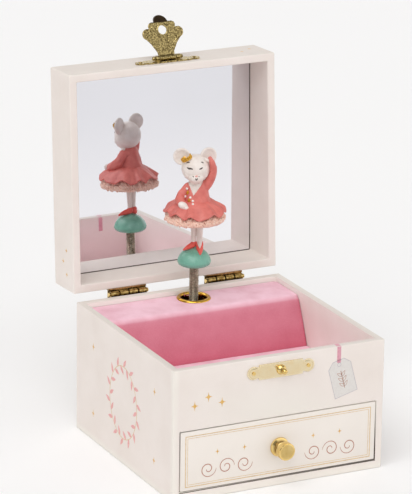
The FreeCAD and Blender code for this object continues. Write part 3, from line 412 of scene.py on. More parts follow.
def velvet(name, top, side, dark):
    """Short flock: painted light makes it paler where it faces up and painted shade deepens its slopes, with brushed
    patches and a fine pile.
    """
    look = Look(name, Roughness=0.95, Specular_IOR_Level=0.1, Sheen_Weight=0.55, Sheen_Roughness=0.35)
    look.shader.inputs["Sheen Tint"].default_value = srgb(255, 215, 225)
    axes = look.node("SeparateXYZ")
    look.link(look.node("TexCoord").outputs["Normal"], axes.inputs["Vector"])
    # painted light and shade: the colour runs from the shaded side colour to the lit top colour as the face turns up
    lit_top_shaded_side = look.mix(look.ramp(axes.outputs["Z"], (0.35, 0.0), (0.97, 1.0)), side, top)
    brushed = look.mix(look.ramp(look.noise(0.09, 4), (0.4, 0.0), (0.75, 0.35)), lit_top_shaded_side, dark)
    pile = look.mix(look.ramp(look.noise(4.0, 2), (0.45, 0.0), (0.8, 0.18)), brushed, srgb(250, 200, 212))
    look.colour(pile)
    look.bump(look.noise(5.0, 2), 0.06, 0.5).bump(look.noise(0.12, 3), 0.12, 0.4)
    return look.material


def resin(name, light, dark, brush=0.5, roughness=(0.38, 0.55), relief=0.02, shadow=None):
    """Hand painted cast resin: brushed colour, darker hollows and a satin film."""
    look = Look(name, Coat_Weight=0.12, Coat_Roughness=0.3)
    tone = look.mix(look.ramp(look.noise(brush, 4), (0.35, 0.0), (0.7, 1.0)), light, dark)
    if shadow:
        tone = look.mix(look.wear(0.42, 0.50), shadow, tone)
    look.colour(tone).rough(look.noise(0.8), *roughness)
    look.bump(look.noise(1.6, 3), relief, 0.5)
    return look.material


def foil(name, light, dark, metallic=0.0, roughness=(0.4, 0.6)):
    """Printed ink or foil with worn, uneven cover."""
    look = Look(name, Metallic=metallic)
    look.colour(look.mix(look.ramp(look.noise(0.8, 4), (0.4, 0.0), (0.65, 1.0)), light, dark))
    look.rough(look.noise(1.5), *roughness).bump(look.noise(3.0), 0.008, 0.4)
    return look.material


CREAM = paper("cream_paper", srgb(239, 230, 224), srgb(234, 224, 217))
LINING = paper("lining_paper", srgb(246, 240, 234), srgb(240, 233, 226))
BOARD = paper("raw_board", srgb(214, 200, 182), srgb(196, 180, 160), 1.2)
# the first two colours are the painted light of faces that look up and the painted shade of the slopes
VELVET = velvet("pink_velvet", srgb(252, 212, 226), srgb(208, 108, 128), srgb(190, 92, 112))
BRASS = metal("polished_brass", srgb(242, 214, 146), srgb(228, 194, 118), 0.08, 0.2, 0.6,
              hollow=srgb(112, 82, 36), relief=0.005)
PALE_BRASS = metal("plate_brass", srgb(255, 244, 212), srgb(252, 234, 194), 0.16, 0.26, 0.5,
                   hollow=srgb(176, 146, 92), relief=0.004)
ANTIQUE = metal("antique_brass", srgb(232, 210, 146), srgb(96, 78, 40), 0.2, 0.36, 2.5,
                hollow=srgb(60, 48, 24), relief=0.06, blotch=1.3)
OLD_BRASS = metal("hinge_brass", srgb(214, 186, 120), srgb(128, 100, 50), 0.16, 0.3, 1.5,
                  hollow=srgb(62, 46, 20), relief=0.03, blotch=0.7)
RING_GOLD = metal("ring_gold", srgb(226, 184, 84), srgb(196, 150, 48), 0.06, 0.16, 0.5,
                  hollow=srgb(110, 78, 20), relief=0.004)
# painted shade: a dark brown copy of the brass for the finger tab, whose face is turned from the light
TAB_SHADE = metal("tab_painted_shade", srgb(92, 74, 54), srgb(66, 52, 38), 0.3, 0.5, hollow=srgb(34, 28, 20))
STEEL = metal("spring_steel", srgb(190, 180, 162), srgb(150, 138, 120), 0.2, 0.36, 3.0,
              hollow=srgb(84, 74, 62))
WORKS = metal("movement_steel", srgb(190, 190, 188), srgb(150, 150, 148), 0.22, 0.4)
GEARS = metal("gear_brass", srgb(214, 182, 110), srgb(184, 150, 84), 0.2, 0.38)
GREEN = resin("green_enamel", srgb(126, 186, 166), srgb(110, 172, 152), 0.25, (0.18, 0.3), 0.008)
WHITE = resin("mouse_white", srgb(240, 232, 226), srgb(228, 216, 208), 0.35, shadow=srgb(190, 172, 160))
CORAL = resin("coral_dress", srgb(222, 124, 114), srgb(206, 104, 96), 0.3, shadow=srgb(150, 58, 54))
SLIPPER = resin("coral_slipper", srgb(236, 100, 88), srgb(222, 82, 74), 0.4, shadow=srgb(150, 46, 44))
DARK_INK = resin("face_ink", srgb(86, 74, 68), srgb(66, 56, 52), 1.0)
NOSE_PINK = resin("nose_pink", srgb(232, 176, 166), srgb(220, 158, 150), 1.0)
PEARL = resin("pearl", srgb(252, 250, 246), srgb(240, 236, 230), 0.8, (0.12, 0.22))
GOLD_PAINT = metal("gold_paint", srgb(232, 184, 84), srgb(206, 152, 54), 0.24, 0.4, hollow=srgb(130, 84, 22))
GOLD_INK = foil("gold_ink", srgb(232, 190, 112), srgb(214, 168, 88), 0.35, (0.3, 0.45))
LINE_INK = foil("line_ink", srgb(226, 200, 158), srgb(210, 180, 136), 0.2)
SCROLL_INK = foil("scroll_ink", srgb(190, 138, 118), srgb(170, 118, 98))
ROSE_INK = foil("rose_ink", srgb(236, 178, 176), srgb(224, 154, 152))
GREY_INK = foil("grey_ink", srgb(202, 194, 198), srgb(190, 182, 188))
TAG_INK = foil("tag_ink", srgb(224, 220, 216), srgb(220, 215, 211))
RIBBON_INK = foil("ribbon_ink", srgb(224, 164, 178), srgb(214, 150, 166))
# brown board darkened well past its own colour as painted shade, so that the gap round the drawer reads dark
CAVITY_SHADE = paper("cavity_board_shade", srgb(96, 84, 76), srgb(72, 62, 56))
# painted shade: the dark colour of the strips that stand for the shadow in the gap round the glass
SEAM_SHADE = foil("seam_shadow", srgb(96, 86, 80), srgb(74, 64, 58))


def mirror_look():
    """Silvered glass with painted shade that greys it towards its top, and faintly uneven."""
    look = Look("silvered_glass", Metallic=1.0)
    axes = look.node("SeparateXYZ")
    look.link(look.place, axes.inputs["Vector"])
    height = look.node("MapRange")
    height.inputs["From Min"].default_value = 0.085
    height.inputs["From Max"].default_value = 0.150
    look.link(axes.outputs["Z"], height.inputs["Value"])
    # painted shade: the glass's colour darkens from near white at its foot to grey at its top, so its reflection reads
    # dimmer there
    top_shade_tint = look.mix(height.outputs["Result"], srgb(250, 249, 252), srgb(231, 231, 236))
    look.colour(look.mix(look.ramp(look.noise(0.02, 2), (0.3, 0.0), (0.7, 0.4)), top_shade_tint, srgb(236, 236, 242)))
    look.rough(look.noise(0.08, 4), 0.0, 0.035).bump(look.noise(0.03, 1), 0.002, 0.15)
    return look.material


def lace_look():
    """Crumpled lace cast in resin: a net of small hollows with pale raised threads."""
    look = Look("peach_lace", Roughness=0.6, Sheen_Weight=0.2)
    holes = look.ramp(look.cells(1.9), (0.15, 0.0), (0.5, 1.0))
    tone = look.mix(holes, srgb(226, 160, 138), srgb(246, 206, 186))
    # painted shade: the creases are mixed towards a dark rust colour
    tone = look.mix(look.wear(0.40, 0.50), srgb(184, 104, 88), tone)
    speck = look.mix(look.ramp(look.noise(2.4, 3), (0.52, 0.0), (0.66, 0.85)), tone, srgb(255, 240, 228))
    look.colour(speck).rough(look.noise(1.2), 0.45, 0.7).bump(holes, 0.12, 0.7)
    return look.material


MIRROR = mirror_look()
LACE = lace_look()


# Case, lid and drawer ----------------------------------------------------------------------------

def softened(piece, width, segments=3):
    return modify(piece, "BEVEL", width=width, segments=segments, limit_method="ANGLE",
                  angle_limit=math.radians(40), harden_normals=False)


def papered(name, boxes, edge, segments=3, holes=()):
    """Boards that touch as one soft edged body, drawn in by the prints' depth on its outer faces."""
    low = np.min([box[0] for box in boxes], 0)
    high = np.max([box[1] for box in boxes], 0)
    trimmed = [(np.where(box_low <= low + 0.01, low + INSET, box_low),
                np.where(box_high >= high - 0.01, high - INSET, box_high)) for box_low, box_high in boxes]
    return softened(raw(name, joined_boxes(trimmed, holes)), edge, segments)


def drilled(piece, centre, radius, depth):
    """A round hole along Y through a piece that is still in millimetres."""
    verts, faces = lathe([(0, -depth), (radius, -depth), (radius, depth), (0, depth)], 48)
    drill = raw("drill", moved((verts, faces), Matrix.Translation(centre) @ Matrix.Rotation(math.pi / 2, 4, "X")))
    modify(piece, "BOOLEAN", operation="DIFFERENCE", object=drill, solver="EXACT")
    bpy.data.objects.remove(drill)
    return piece


CASE_NODES = ("left_wall", "right_wall", "back_wall", "front_panel", "bottom_panel")
CASE_LOW = np.min([span(n)[0] for n in CASE_NODES], 0)
CASE_HIGH = np.max([span(n)[1] for n in CASE_NODES], 0)
INNER_X = -span("left_wall")[1][0]
INNER_BACK = span("back_wall")[0][1]
INNER_FRONT = span("front_panel")[1][1]
OPENING_TOP = span("front_panel")[0][2]
WIRE_X, WIRE_Y = (np.mean([span("stop_wire")[0][0], span("stop_wire")[0][0] + 1.2]), span("stop_wire")[1][1] - 0.6)
WIRE_ROOM = 0.8
ARBOR = (span("winding_arbor")[0] + span("winding_arbor")[1]) / 2


def case_faces(centre, normal):
    """Lining inside the tray, brown board darkened as painted shade round the drawer, and outer paper elsewhere."""
    x, y, z = centre / MM
    if abs(x) < INNER_X + 0.2 and CASE_LOW[2] + 4 < z < OPENING_TOP + 0.3 and y < INNER_BACK + 0.2:
        return 2
    within = abs(x) < INNER_X + 0.2 and INNER_FRONT - 0.2 < y < INNER_BACK + 0.2
    return 1 if within and z < CASE_HIGH[2] - 0.6 else 0


def make_case():
    top = CASE_HIGH[2]
    groove = ((WIRE_X - WIRE_ROOM, INNER_BACK - 1, 56), (WIRE_X + WIRE_ROOM, WIRE_Y + WIRE_ROOM, top + 1))
    shell = papered("case_wrap", [span(node) for node in CASE_NODES], 0.55, holes=[groove])
    drilled(shell, (ARBOR[0], INNER_BACK, ARBOR[2]), 2.0, 6)
    placed(shell, [CREAM, LINING, CAVITY_SHADE], "case")
    paint(shell, case_faces)
    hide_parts(*CASE_NODES)


LID_NODES = ("lid_left_rail", "lid_right_rail", "lid_front_rail", "lid_back_rail", "lid_panel")
LID_LOW = np.min([span(n, LID)[0] for n in LID_NODES], 0)
LID_HIGH = np.max([span(n, LID)[1] for n in LID_NODES], 0)
# The glass leans and stands forward of the CAD mirror, so that its reflection comes nearer to the photograph's.
MIRROR_YAW = 1.0
MIRROR_PITCH = -1.0
SEAM = 0.5
GLASS_STEP = 0.95


def make_lid():
    shell = papered("lid_wrap", [span(node, LID) for node in LID_NODES], 0.7, 4)
    placed(shell, CREAM, "lid", LID)
    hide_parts(*LID_NODES)
    low, high = span("mirror", LID)
    face = low[2]
    lean_x, lean_y = math.tan(math.radians(MIRROR_YAW)), math.tan(math.radians(MIRROR_PITCH))
    play = 0.05
    verts, faces = joined_boxes([((low[0] + play, low[1] + play, face), (high[0] - play, high[1] - play, high[2]))])
    leaning = []
    for x, y, z in verts:
        leaning.append((x, y, z if z > face + 0.1 else face - GLASS_STEP + lean_x * x - lean_y * y))
    glass = softened(raw("mirror_glass", (leaning, faces)), 0.25, 2)
    placed(glass, MIRROR, "lid", LID, sharp=15)
    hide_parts("mirror")
    # painted shade: dark strips along two edges of the glass stand for the shadow in the gap there
    seams = []
    for box_low, box_high in (((high[0] - SEAM, low[1]), (high[0] - 0.02, high[1])),
                              ((low[0], high[1] - SEAM), (high[0], high[1] - 0.02))):
        verts, faces = joined_boxes([((*box_low, face), (*box_high, face + 1))])
        seams.append(([(x, y, face - GLASS_STEP + lean_x * x - lean_y * y + (-0.1 if z < face + 0.5 else 0.2))
                       for x, y, z in verts], faces))
    placed(raw("mirror_seam", together(*seams)), SEAM_SHADE, "lid", LID)


def make_drawer():
    low, high = span("drawer_front")
    front = softened(raw("drawer_face", joined_boxes([(low + (0, INSET, 0), high)])), 0.35, 2)
    placed(front, CREAM, "drawer")
    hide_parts("drawer_front")
    nodes = ("drawer_left_side", "drawer_right_side", "drawer_back", "drawer_bottom")
    box = softened(raw("drawer_box", joined_boxes([span(n) for n in nodes])), 0.3, 2)
    placed(box, LINING, "drawer")
    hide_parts(*nodes)
    liner = softened(raw("drawer_velvet", joined_boxes([span("drawer_liner")])), 0.3, 2)
    placed(liner, VELVET, "drawer")
    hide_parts("drawer_liner")


# Velvet ------------------------------------------------------------------------------------------

def make_velvet():
    """The padded deck over the movement and the tray floor in front of it."""
    low, high = span("deck_pad")
    tray_low, tray_high = span("tray_pad")
    hole = (span("grommet")[1][0] - span("grommet")[0][0]) / 2 - 1.4
    edge = 1.3
    top, foot = high[2], tray_high[2]
    profile = rounded([(low[1] + 0.1, foot - 1.0), (low[1] + 0.3, foot + 0.6), (18.2, 47.4), (21.3, 54.0),
                       (23.9, 59.3), (25.2, 61.2), (27.3, 62.3), (30.5, top - 0.03), (36, top - 0.02),
                       (42, top - 0.02), (47.5, top - 0.05), (high[1] - 0.2, top - 0.5)], 5)
    columns = 120
    half = high[0] - 0.02
    verts, faces = [], []
    for y, z in profile:
        for c in range(columns + 1):
            x = -half + 2 * half * c / columns
            tuck = smoothstep(half - edge, half, abs(x))
            sag = 0.12 * noise.noise(Vector((x * 0.05, y * 0.09, 3))) - 0.10
            out = (-0.45, -0.9) if y < 26 else (0, -0.75)
            height = min(z + sag * (1 - tuck) + out[1] * tuck * 0.6, top)
            verts.append((x, y + 0.02 - out[0] * tuck, height))
    width = columns + 1
    for row in range(len(profile) - 1):
        for c in range(columns):
            a = row * width + c
            faces.append([a, a + 1, a + width + 1, a + width])
    deck = raw("deck_velvet", (verts, faces))
    bm = bmesh.new()
    bm.from_mesh(deck.data)
    doomed = [f for f in bm.faces if f.calc_center_median().z > top - 1.5
              and (f.calc_center_median().xy - STAGE.xy).length < hole + 0.9]
    bmesh.ops.delete(bm, geom=doomed, context="FACES")
    loop = [v for v in bm.verts if v.is_boundary and v.co.z > top - 2
            and (v.co.xy - STAGE.xy).length < hole + 3]
    for v in loop:
        outward = (v.co.xy - STAGE.xy).normalized() * hole
        v.co.x, v.co.y = STAGE.x + outward.x, STAGE.y + outward.y
    bm.to_mesh(deck.data)
    bm.free()
    modify(deck, "SOLIDIFY", thickness=1.2, offset=-1)
    placed(deck, VELVET, "case", sharp=50)
    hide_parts("deck_pad")

    low, high = tray_low, tray_high
    steps_x, steps_y = 80, 48
    verts, faces = [], []
    for j in range(steps_y + 1):
        for i in range(steps_x + 1):
            x = low[0] + (high[0] - low[0]) * i / steps_x
            y = low[1] + (high[1] - low[1]) * j / steps_y
            rim = max(smoothstep(high[0] - 1.2, high[0], abs(x)), smoothstep(high[1] - 1.2, high[1], y),
                      smoothstep(-low[1] - 1.2, -low[1], -y))
            crease = 0.06 * noise.noise(Vector((x * 0.07, y * 0.07, 9)))
            verts.append((x, y, high[2] - 0.05 - 0.7 * rim - crease))
    for j in range(steps_y):
        for i in range(steps_x):
            a = j * (steps_x + 1) + i
            faces.append([a, a + 1, a + steps_x + 2, a + steps_x + 1])
    floor = raw("tray_velvet", (verts, faces))
    modify(floor, "SOLIDIFY", thickness=1.4, offset=-1)
    placed(floor, VELVET, "case", sharp=50)
    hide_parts("tray_pad")


# Prints ------------------------------------------------------------------------------------------

INK = 0.035


def prism(outline, to_surface):
    """A filled outline as a film that straddles the board's surface."""
    flat = [Vector((u, v, 0)) for u, v in outline]
    count = len(flat)
    verts = [tuple(to_surface(p.x, p.y, h)) for h in (-INK, INK) for p in flat]
    faces = []
    for tri in tessellate_polygon([flat]):
        faces += [[i + count for i in tri], list(tri)[::-1]]
    faces += [[i, (i + 1) % count, (i + 1) % count + count, i + count] for i in range(count)]
    return verts, faces


def line(points, width, to_surface, closed=False, taper=False):
    """A drawn line as a film of that width; taper thins it towards both ends."""
    points = [np.array(p, float) for p in points]
    count = len(points)
    verts, faces = [], []
    for k, p in enumerate(points):
        edges = [p - points[k - 1]] if closed or k else []
        edges += [points[(k + 1) % count] - p] if closed or k < count - 1 else []
        edges = [edge / max(np.linalg.norm(edge), 1e-9) for edge in edges]
        along = sum(edges) / max(np.linalg.norm(sum(edges)), 1e-9)
        side = np.array((-along[1], along[0])) / max(abs(float(np.dot(along, edges[0]))), 0.5)
        half = width / 2 * ((0.35 + 0.65 * math.sin(math.pi * k / (count - 1)) ** 0.5) if taper else 1)
        for h in (-INK, INK):
            for sign in (-1, 1):
                verts.append(tuple(to_surface(*(p + sign * side * half), h)))
    for k in range(count if closed else count - 1):
        a, b = 4 * k, 4 * ((k + 1) % count)
        faces += [[a + 2, a + 3, b + 3, b + 2], [a, b, b + 1, a + 1],
                  [a, a + 2, b + 2, b], [a + 1, b + 1, b + 3, a + 3]]
    if not closed:
        last = 4 * (count - 1)
        faces += [[0, 1, 3, 2], [last, last + 2, last + 3, last + 1]]
    return verts, faces


def star(u, v, size, tall=1.25):
    """A sparkle with four curved points."""
    outline = []
    for k in range(32):
        a = 2 * math.pi * k / 32
        reach = size / (abs(math.cos(a)) ** 0.5 + abs(math.sin(a)) ** 0.5) ** 2
        outline.append((u + reach * math.cos(a), v + reach * math.sin(a) * tall))
    return outline


def leaf(u, v, length, width, degrees):
    """A pointed leaf from its foot at u, v."""
    turn = math.radians(degrees)
    sides = [(length * t, width / 2 * math.sin(math.pi * t ** 0.8))
             for t in (0, 0.15, 0.3, 0.45, 0.6, 0.75, 0.9, 1)]
    sides += [(a, -b) for a, b in sides[-2:0:-1]]
    return [(u + a * math.cos(turn) - b * math.sin(turn), v + a * math.sin(turn) + b * math.cos(turn))
            for a, b in sides]


def on_front(u, v, h):
    return u, CASE_LOW[1] + INSET - h, v


def on_left(u, v, h):
    return CASE_LOW[0] + INSET - h, u, v


def on_lid_side(u, v, h):
    return LID_LOW[0] + INSET - h, u, v


def on_lid_front(u, v, h):
    return u, LID_LOW[1] + INSET - h, v


def printed(name, shapes, look, body="case", place=HERE):
    piece = raw(name, together(*shapes))
    placed(piece, look, body, place, sharp=20)


def sparkle_row(start, step, rise, size, count=3):
    """Evenly spaced sparkles, every second one higher."""
    return [star(start[0] + step * k, start[1] + rise * (k % 2), size) for k in range(count)]


def spiral(centre, reach, turns, start, hand):
    """A plain scroll that opens at an even rate."""
    steps = 40
    angles = [math.radians(start) + hand * 2 * math.pi * turns * k / steps for k in range(steps + 1)]
    return [(centre[0] + reach * (0.15 + 0.85 * k / steps) * math.cos(a),
             centre[1] + reach * (0.15 + 0.85 * k / steps) * math.sin(a)) for k, a in enumerate(angles)]


SCROLL_LEVEL = 14.0
SCROLL_FIRST, SCROLL_STEP, SCROLL_REACH = 18.0, 9.4, 4.3


def scrolls(side):
    """One half of a plain border of three even scrolls beside the knob."""
    strokes = []
    for k in range(3):
        hand = 1 if k % 2 else -1
        strokes.append(spiral((SCROLL_FIRST + SCROLL_STEP * k, SCROLL_LEVEL), SCROLL_REACH, 1.5, 0, hand))
    return [line([(side * u, v) for u, v in stroke], 0.45, on_front, taper=True) for stroke in strokes]


def make_front_prints():
    row = sparkle_row((-44, 46), 7, 3.5, 2.0)
    printed("case_sparkles", [prism(s, on_front) for s in row], GOLD_INK)
    small = [star(side * u, 22, 1.2) for side in (-1, 1) for u in (18, 32)]
    printed("drawer_sparkles", [prism(s, on_front) for s in small], GOLD_INK, "drawer")
    frames = []
    for inset, width in ((0, 0.42), (1.0, 0.22)):
        u, low, high = 48.3 - inset, 6.7 + inset, 31.5 - inset
        frames.append(line([(-u, low), (u, low), (u, high), (-u, high)], width, on_front, closed=True))
    printed("drawer_border", frames, LINE_INK, "drawer")
    printed("drawer_scrolls", scrolls(1) + scrolls(-1), SCROLL_INK, "drawer")


TAG_FOOT, TAG_TILT = (35.0, 40.0), 15
TAG_WIDE, TAG_TALL, TAG_CUT = 12.0, 18.0, 3.0


def on_tag(u, v):
    """A place on the tag, from the middle of its foot, as a place on the front panel."""
    tilt = math.radians(TAG_TILT)
    along, across = math.cos(tilt), math.sin(tilt)
    return TAG_FOOT[0] + u * along - v * across, TAG_FOOT[1] + u * across + v * along


def above_front(u, v, h):
    return on_front(u, v, h + INK * 0.5)


def make_tag():
    """A plain gift tag with cut corners, one leafy stem on it and a ribbon up to the rim."""
    half = TAG_WIDE / 2
    corners = [(-half, 0), (half, 0), (half, TAG_TALL - TAG_CUT), (half - TAG_CUT, TAG_TALL),
               (TAG_CUT - half, TAG_TALL), (-half, TAG_TALL - TAG_CUT)]
    printed("tag_card", [prism([on_tag(u, v) for u, v in corners], on_front)], TAG_INK)
    ring = [(0.9 * math.cos(a), TAG_TALL - 2.2 + 0.9 * math.sin(a)) for a in np.linspace(0, 2 * math.pi, 20)[:-1]]
    edges = [line([on_tag(u, v) for u, v in loop], 0.28, above_front, closed=True) for loop in (corners, ring)]
    printed("tag_lines", edges, GREY_INK)
    sprig = [line([on_tag(0, 3.5), on_tag(0, 12.5)], 0.3, above_front)]
    for k in range(3):
        for lean in (45, 135):
            outline = leaf(*on_tag(0, 4.5 + 2.6 * k), 3.0, 1.2, TAG_TILT + lean)
            sprig.append(line(outline, 0.2, above_front, closed=True))
    printed("tag_sprig", sprig, SCROLL_INK)
    knot = on_tag(0, TAG_TALL - 1.2)
    rim = CASE_HIGH[2] - INSET - 0.2
    printed("tag_ribbon", [line([knot, (knot[0], rim)], 2.0, above_front)], RIBBON_INK)

    def on_rim(u, v, h):
        return u, v, CASE_HIGH[2] - INSET + h

    def inside(u, v, h):
        return u, INNER_FRONT + h, v
    over = [(knot[0], CASE_LOW[1] + 0.5), (knot[0], INNER_FRONT - 0.5)]
    down = [(knot[0], CASE_HIGH[2] - 0.6), (knot[0], CASE_HIGH[2] - 8)]
    printed("rim_ribbon", [line(over, 2.2, on_rim), line(down, 2.2, inside)], RIBBON_INK)


WREATH_MIDDLE, WREATH_RADII = (0.0, 31.0), (15.0, 18.0)
WREATH_LEAVES = 28


def make_side_prints():
    """A plain oval wreath of leaves with a sparkle in each corner, and sparkles on the lid."""
    def wreath_point(angle):
        return (WREATH_MIDDLE[0] + WREATH_RADII[0] * math.cos(angle),
                WREATH_MIDDLE[1] + WREATH_RADII[1] * math.sin(angle))
    ring = [wreath_point(2 * math.pi * k / 96) for k in range(96)]
    printed("wreath_stem", [line(ring, 0.35, on_left, closed=True)], LINE_INK)
    leaves = []
    for k in range(WREATH_LEAVES):
        angle = 2 * math.pi * k / WREATH_LEAVES
        lean = 35 if k % 2 else 145
        leaves.append(prism(leaf(*wreath_point(angle), 5.0, 1.9, math.degrees(angle) + lean),
                            lambda u, v, h: on_left(u, v, h + INK * 0.5)))
    printed("wreath_leaves", leaves, ROSE_INK)
    corners = [star(side * 34, v, 1.6) for side in (-1, 1) for v in (14, 48)]
    printed("side_sparkles", [prism(s, on_left) for s in corners], GOLD_INK)
    row = sparkle_row((-20, 8), 6, 4, 1.3)
    drawn = [[(u + LID_HIGH[1], v + LID_LOW[2]) for u, v in s] for s in row]
    printed("lid_side_sparkles", [prism(s, on_lid_side) for s in drawn], GOLD_INK, "lid", LID)
    drawn = [[(u, v + LID_LOW[2]) for u, v in s] for s in sparkle_row((42, 10), 6, 4, 1.1, 2)]
    printed("lid_front_sparkles", [prism(s, on_lid_front) for s in drawn], GOLD_INK, "lid", LID)


# Brass -------------------------------------------------------------------------------------------

def make_knob():
    low, high = span("knob")
    middle = (low + high) / 2
    length, flange = high[1] - low[1], (high[0] - low[0]) / 2
    profile = [(0, 0), (flange - 0.5, 0), (flange - 0.1, 0.25), (flange, 0.7), (flange - 0.2, 1.2), (flange - 0.9, 1.6),
               (flange - 1.6, 1.9), (3.0, 2.5), (2.9, 3.2), (3.1, 3.9), (3.7, 4.4), (4.0, 4.7), (4.1, 4.9), (3.95, 5.1),
               (4.1, 5.3), (4.3, 5.6), (4.32, length - 0.7), (4.15, length - 0.25), (3.8, length - 0.02), (3.2, length),
               (0, length)]
    turn = Matrix.Translation((middle[0], high[1], middle[2])) @ Matrix.Rotation(math.pi / 2, 4, "X")
    placed(raw("knob_turned", lathe(profile, 96)), BRASS, "drawer", turn, sharp=28)
    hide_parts("knob")


def make_eyelet():
    """A sleeve through the deck under a fat rolled rim."""
    low, high = span("grommet")
    sleeve = (high[0] - low[0]) / 2 - 1.7
    rise = high[2] - low[2]
    roll, centre = 1.08, (sleeve + 0.85, rise - 1.02)
    profile = [(sleeve - 0.5, 0), (sleeve, 0)]
    for k in range(15):
        a = math.radians(-110 + 300 * k / 14)
        profile.append((centre[0] + roll * math.cos(a), centre[1] + roll * 0.95 * math.sin(a)))
    eyelet = placed(raw("eyelet", lathe(profile, 96, ring=True)), RING_GOLD, "case",
                    Matrix.Translation((STAGE.x, STAGE.y, low[2])), sharp=60)
    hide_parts("grommet")


KNUCKLE_REACH = 1.7       # what lies nearer the pin than this is a knuckle
KNUCKLE_START, KNUCKLE_PITCH = 16.2, 5.0
KNUCKLE_GAP = 0.3


def make_hinges():
    """The CAD's leaves with their knuckles drawn apart, so that the gaps read as dark lines."""
    axis = joint_place("lid_hinge")
    for name, body in (("hinge_case_leaves", "case"), ("hinge_lid_leaves", "lid")):
        mesh = frame["nodes"][name].data
        leaves = raw(name.replace("hinge", "old"), ([tuple(v.co / MM) for v in mesh.vertices],
                                                    [list(p.vertices) for p in mesh.polygons]))
        for vertex in leaves.data.vertices:
            if (vertex.co - axis).yz.length < KNUCKLE_REACH:
                along = (abs(vertex.co.x) - KNUCKLE_START) % KNUCKLE_PITCH - KNUCKLE_PITCH / 2
                vertex.co.x -= math.copysign(KNUCKLE_GAP, vertex.co.x * along)
        placed(leaves, OLD_BRASS, body, sharp=40)
        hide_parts(name)


def make_strike():
    low, high = span("strike_plate")
    middle = (low + high) / 2
    plate = raw("strike_shape", ([tuple(v.co / MM) for v in frame["nodes"]["strike_plate"].data.vertices],
                                 [list(p.vertices) for p in frame["nodes"]["strike_plate"].data.polygons]))
    plate.name = "strike_dressed"
    modify(plate, "REMESH", mode="VOXEL", voxel_size=0.16)
    modify(plate, "SMOOTH", factor=0.5, iterations=4)
    half = high[0]

    def swell(at, normal):
        """A raised field with a rounded border, and dimpled ends."""
        if normal.y > -0.5:
            return Vector((0, 0, 0))
        x, z = abs(at.x), at.z - middle[2]
        lobe = math.hypot(max(x - (half - 3.4), 0), z)
        return Vector((0, 0.12 * smoothstep(1.9, 2.5, lobe) if x > half - 5 else 0, 0))
    shift(plate, swell)
    placed(plate, PALE_BRASS, "case", sharp=50)
    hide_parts("strike_plate")
    low, high = span("strike_stud")
    middle = (low + high) / 2
    length = high[1] - low[1]
    face = 3.7 + 0.7
    profile = [(0, 0), (1.1, 0), (1.1, face), (2.35, face + 0.05), (2.4, face + 0.4), (2.15, face + 1.0),
               (1.6, face + 1.5), (1.0, face + 1.8), (0.85, face + 2.2)]
    ball = 1.35
    for k in range(11):
        a = math.radians(-50 + 140 * k / 10)
        profile.append((ball * math.cos(a), length - ball + ball * math.sin(a)))
    profile[-1] = (0, length)
    turn = Matrix.Translation((middle[0], high[1], middle[2])) @ Matrix.Rotation(math.pi / 2, 4, "X")
    stud = placed(raw("stud_turned", lathe(profile, 64)), BRASS, "case", turn, sharp=40)
    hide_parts("strike_stud")


def make_hasp():
    """The stamped shell: the CAD outline with raised ribs, a rim round its hole and a bent finger tab, which is painted
    dark as shade.
    """
    node = frame["nodes"]["hasp"]
    shell = raw("hasp_stamped", ([tuple(v.co / MM) for v in node.data.vertices],
                                 [list(p.vertices) for p in node.data.polygons]))
    modify(shell, "REMESH", mode="VOXEL", voxel_size=0.15)
    modify(shell, "SMOOTH", factor=0.5, iterations=3)
    pivot = joint_place("hasp_hinge")
    lean = math.radians(-(OPEN_ANGLE + JOINTS["hasp_hinge"]["range_deg"][1]))
    along = Matrix.Rotation(lean, 3, "X") @ Vector((0, 0, -1))
    face = Matrix.Rotation(lean, 3, "X") @ Vector((0, 1, 0))
    hole, tab_root, tab_bend = 13.7, 17.2, 30

    def relief(at, normal):
        rel = at - pivot
        reach, x = rel.dot(along), rel.x
        if reach < 2.2 or abs(normal.dot(face)) < 0.45:
            return Vector((0, 0, 0))
        angle, far = math.atan2(x, reach), math.hypot(x, reach)
        fade = smoothstep(2.2, 4.5, reach) * (1 - smoothstep(tab_root - 0.4, tab_root + 0.2, reach))
        ribs = math.cos(19 * angle) * smoothstep(4.5, 9, far)
        ring = math.hypot(x, reach - hole)
        rim = 1.0 - smoothstep(2.5, 3.5, ring)
        grit = noise.noise(Vector((x, reach, 0)) * 1.5) + 0.8 * noise.noise(Vector((x, reach, 5)) * 3.1)
        height = (0.15 * ribs + 0.17 * grit) * (1 - rim) + 0.18 * rim
        return face * height * fade
    shift(shell, relief)

    def bend(at, normal):
        over = max((at - pivot).dot(along) - tab_root, 0)
        return face * -over * math.tan(math.radians(tab_bend))
    shift(shell, bend)
    placed(shell, [ANTIQUE, TAB_SHADE], "hasp_shell", sharp=60)
    # painted shade: faces past the tab's root take the dark tab colour
    paint(shell, lambda c, n: 1 if (Vector(c) / MM - pivot).dot(along) > tab_root + 0.2 else 0)
    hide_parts("hasp")


# Stem --------------------------------------------------------------------------------------------

def make_stem():
    """Real turns of wire: the lowest stay on the case, a short middle run stays where it is built and the rest carries
    the figure.
    """
    low, high = span("stem_spring")
    bend = joint_place("stem_bend").z
    outer = (high[0] - low[0]) / 2
    wire = 0.25
    pitch = 2 * wire * 1.04
    give = 3.0
    ends = (span("foot_spring")[0][2] + 0.05, bend - give, bend + give, high[2] - 0.05)
    for name, start, end in zip(("coil_foot", "coil_bend", "coil_top"), ends, ends[1:]):
        first, last = start / pitch, end / pitch
        count = int((last - first) * 28)
        path = []
        for k in range(count + 1):
            turn = first + (last - first) * k / count
            a = 2 * math.pi * turn
            radius = outer - wire - 0.01
            path.append((STAGE.x + radius * math.cos(a), STAGE.y + radius * math.sin(a), turn * pitch, wire))
        coil = placed(raw(name, tube(path, 8, domed=False)), STEEL, sharp=60)
        if name == "coil_bend":
            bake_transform(coil)
        else:
            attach(coil, "case" if name == "coil_foot" else "stem")
            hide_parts("foot_spring" if name == "coil_foot" else "stem_spring")


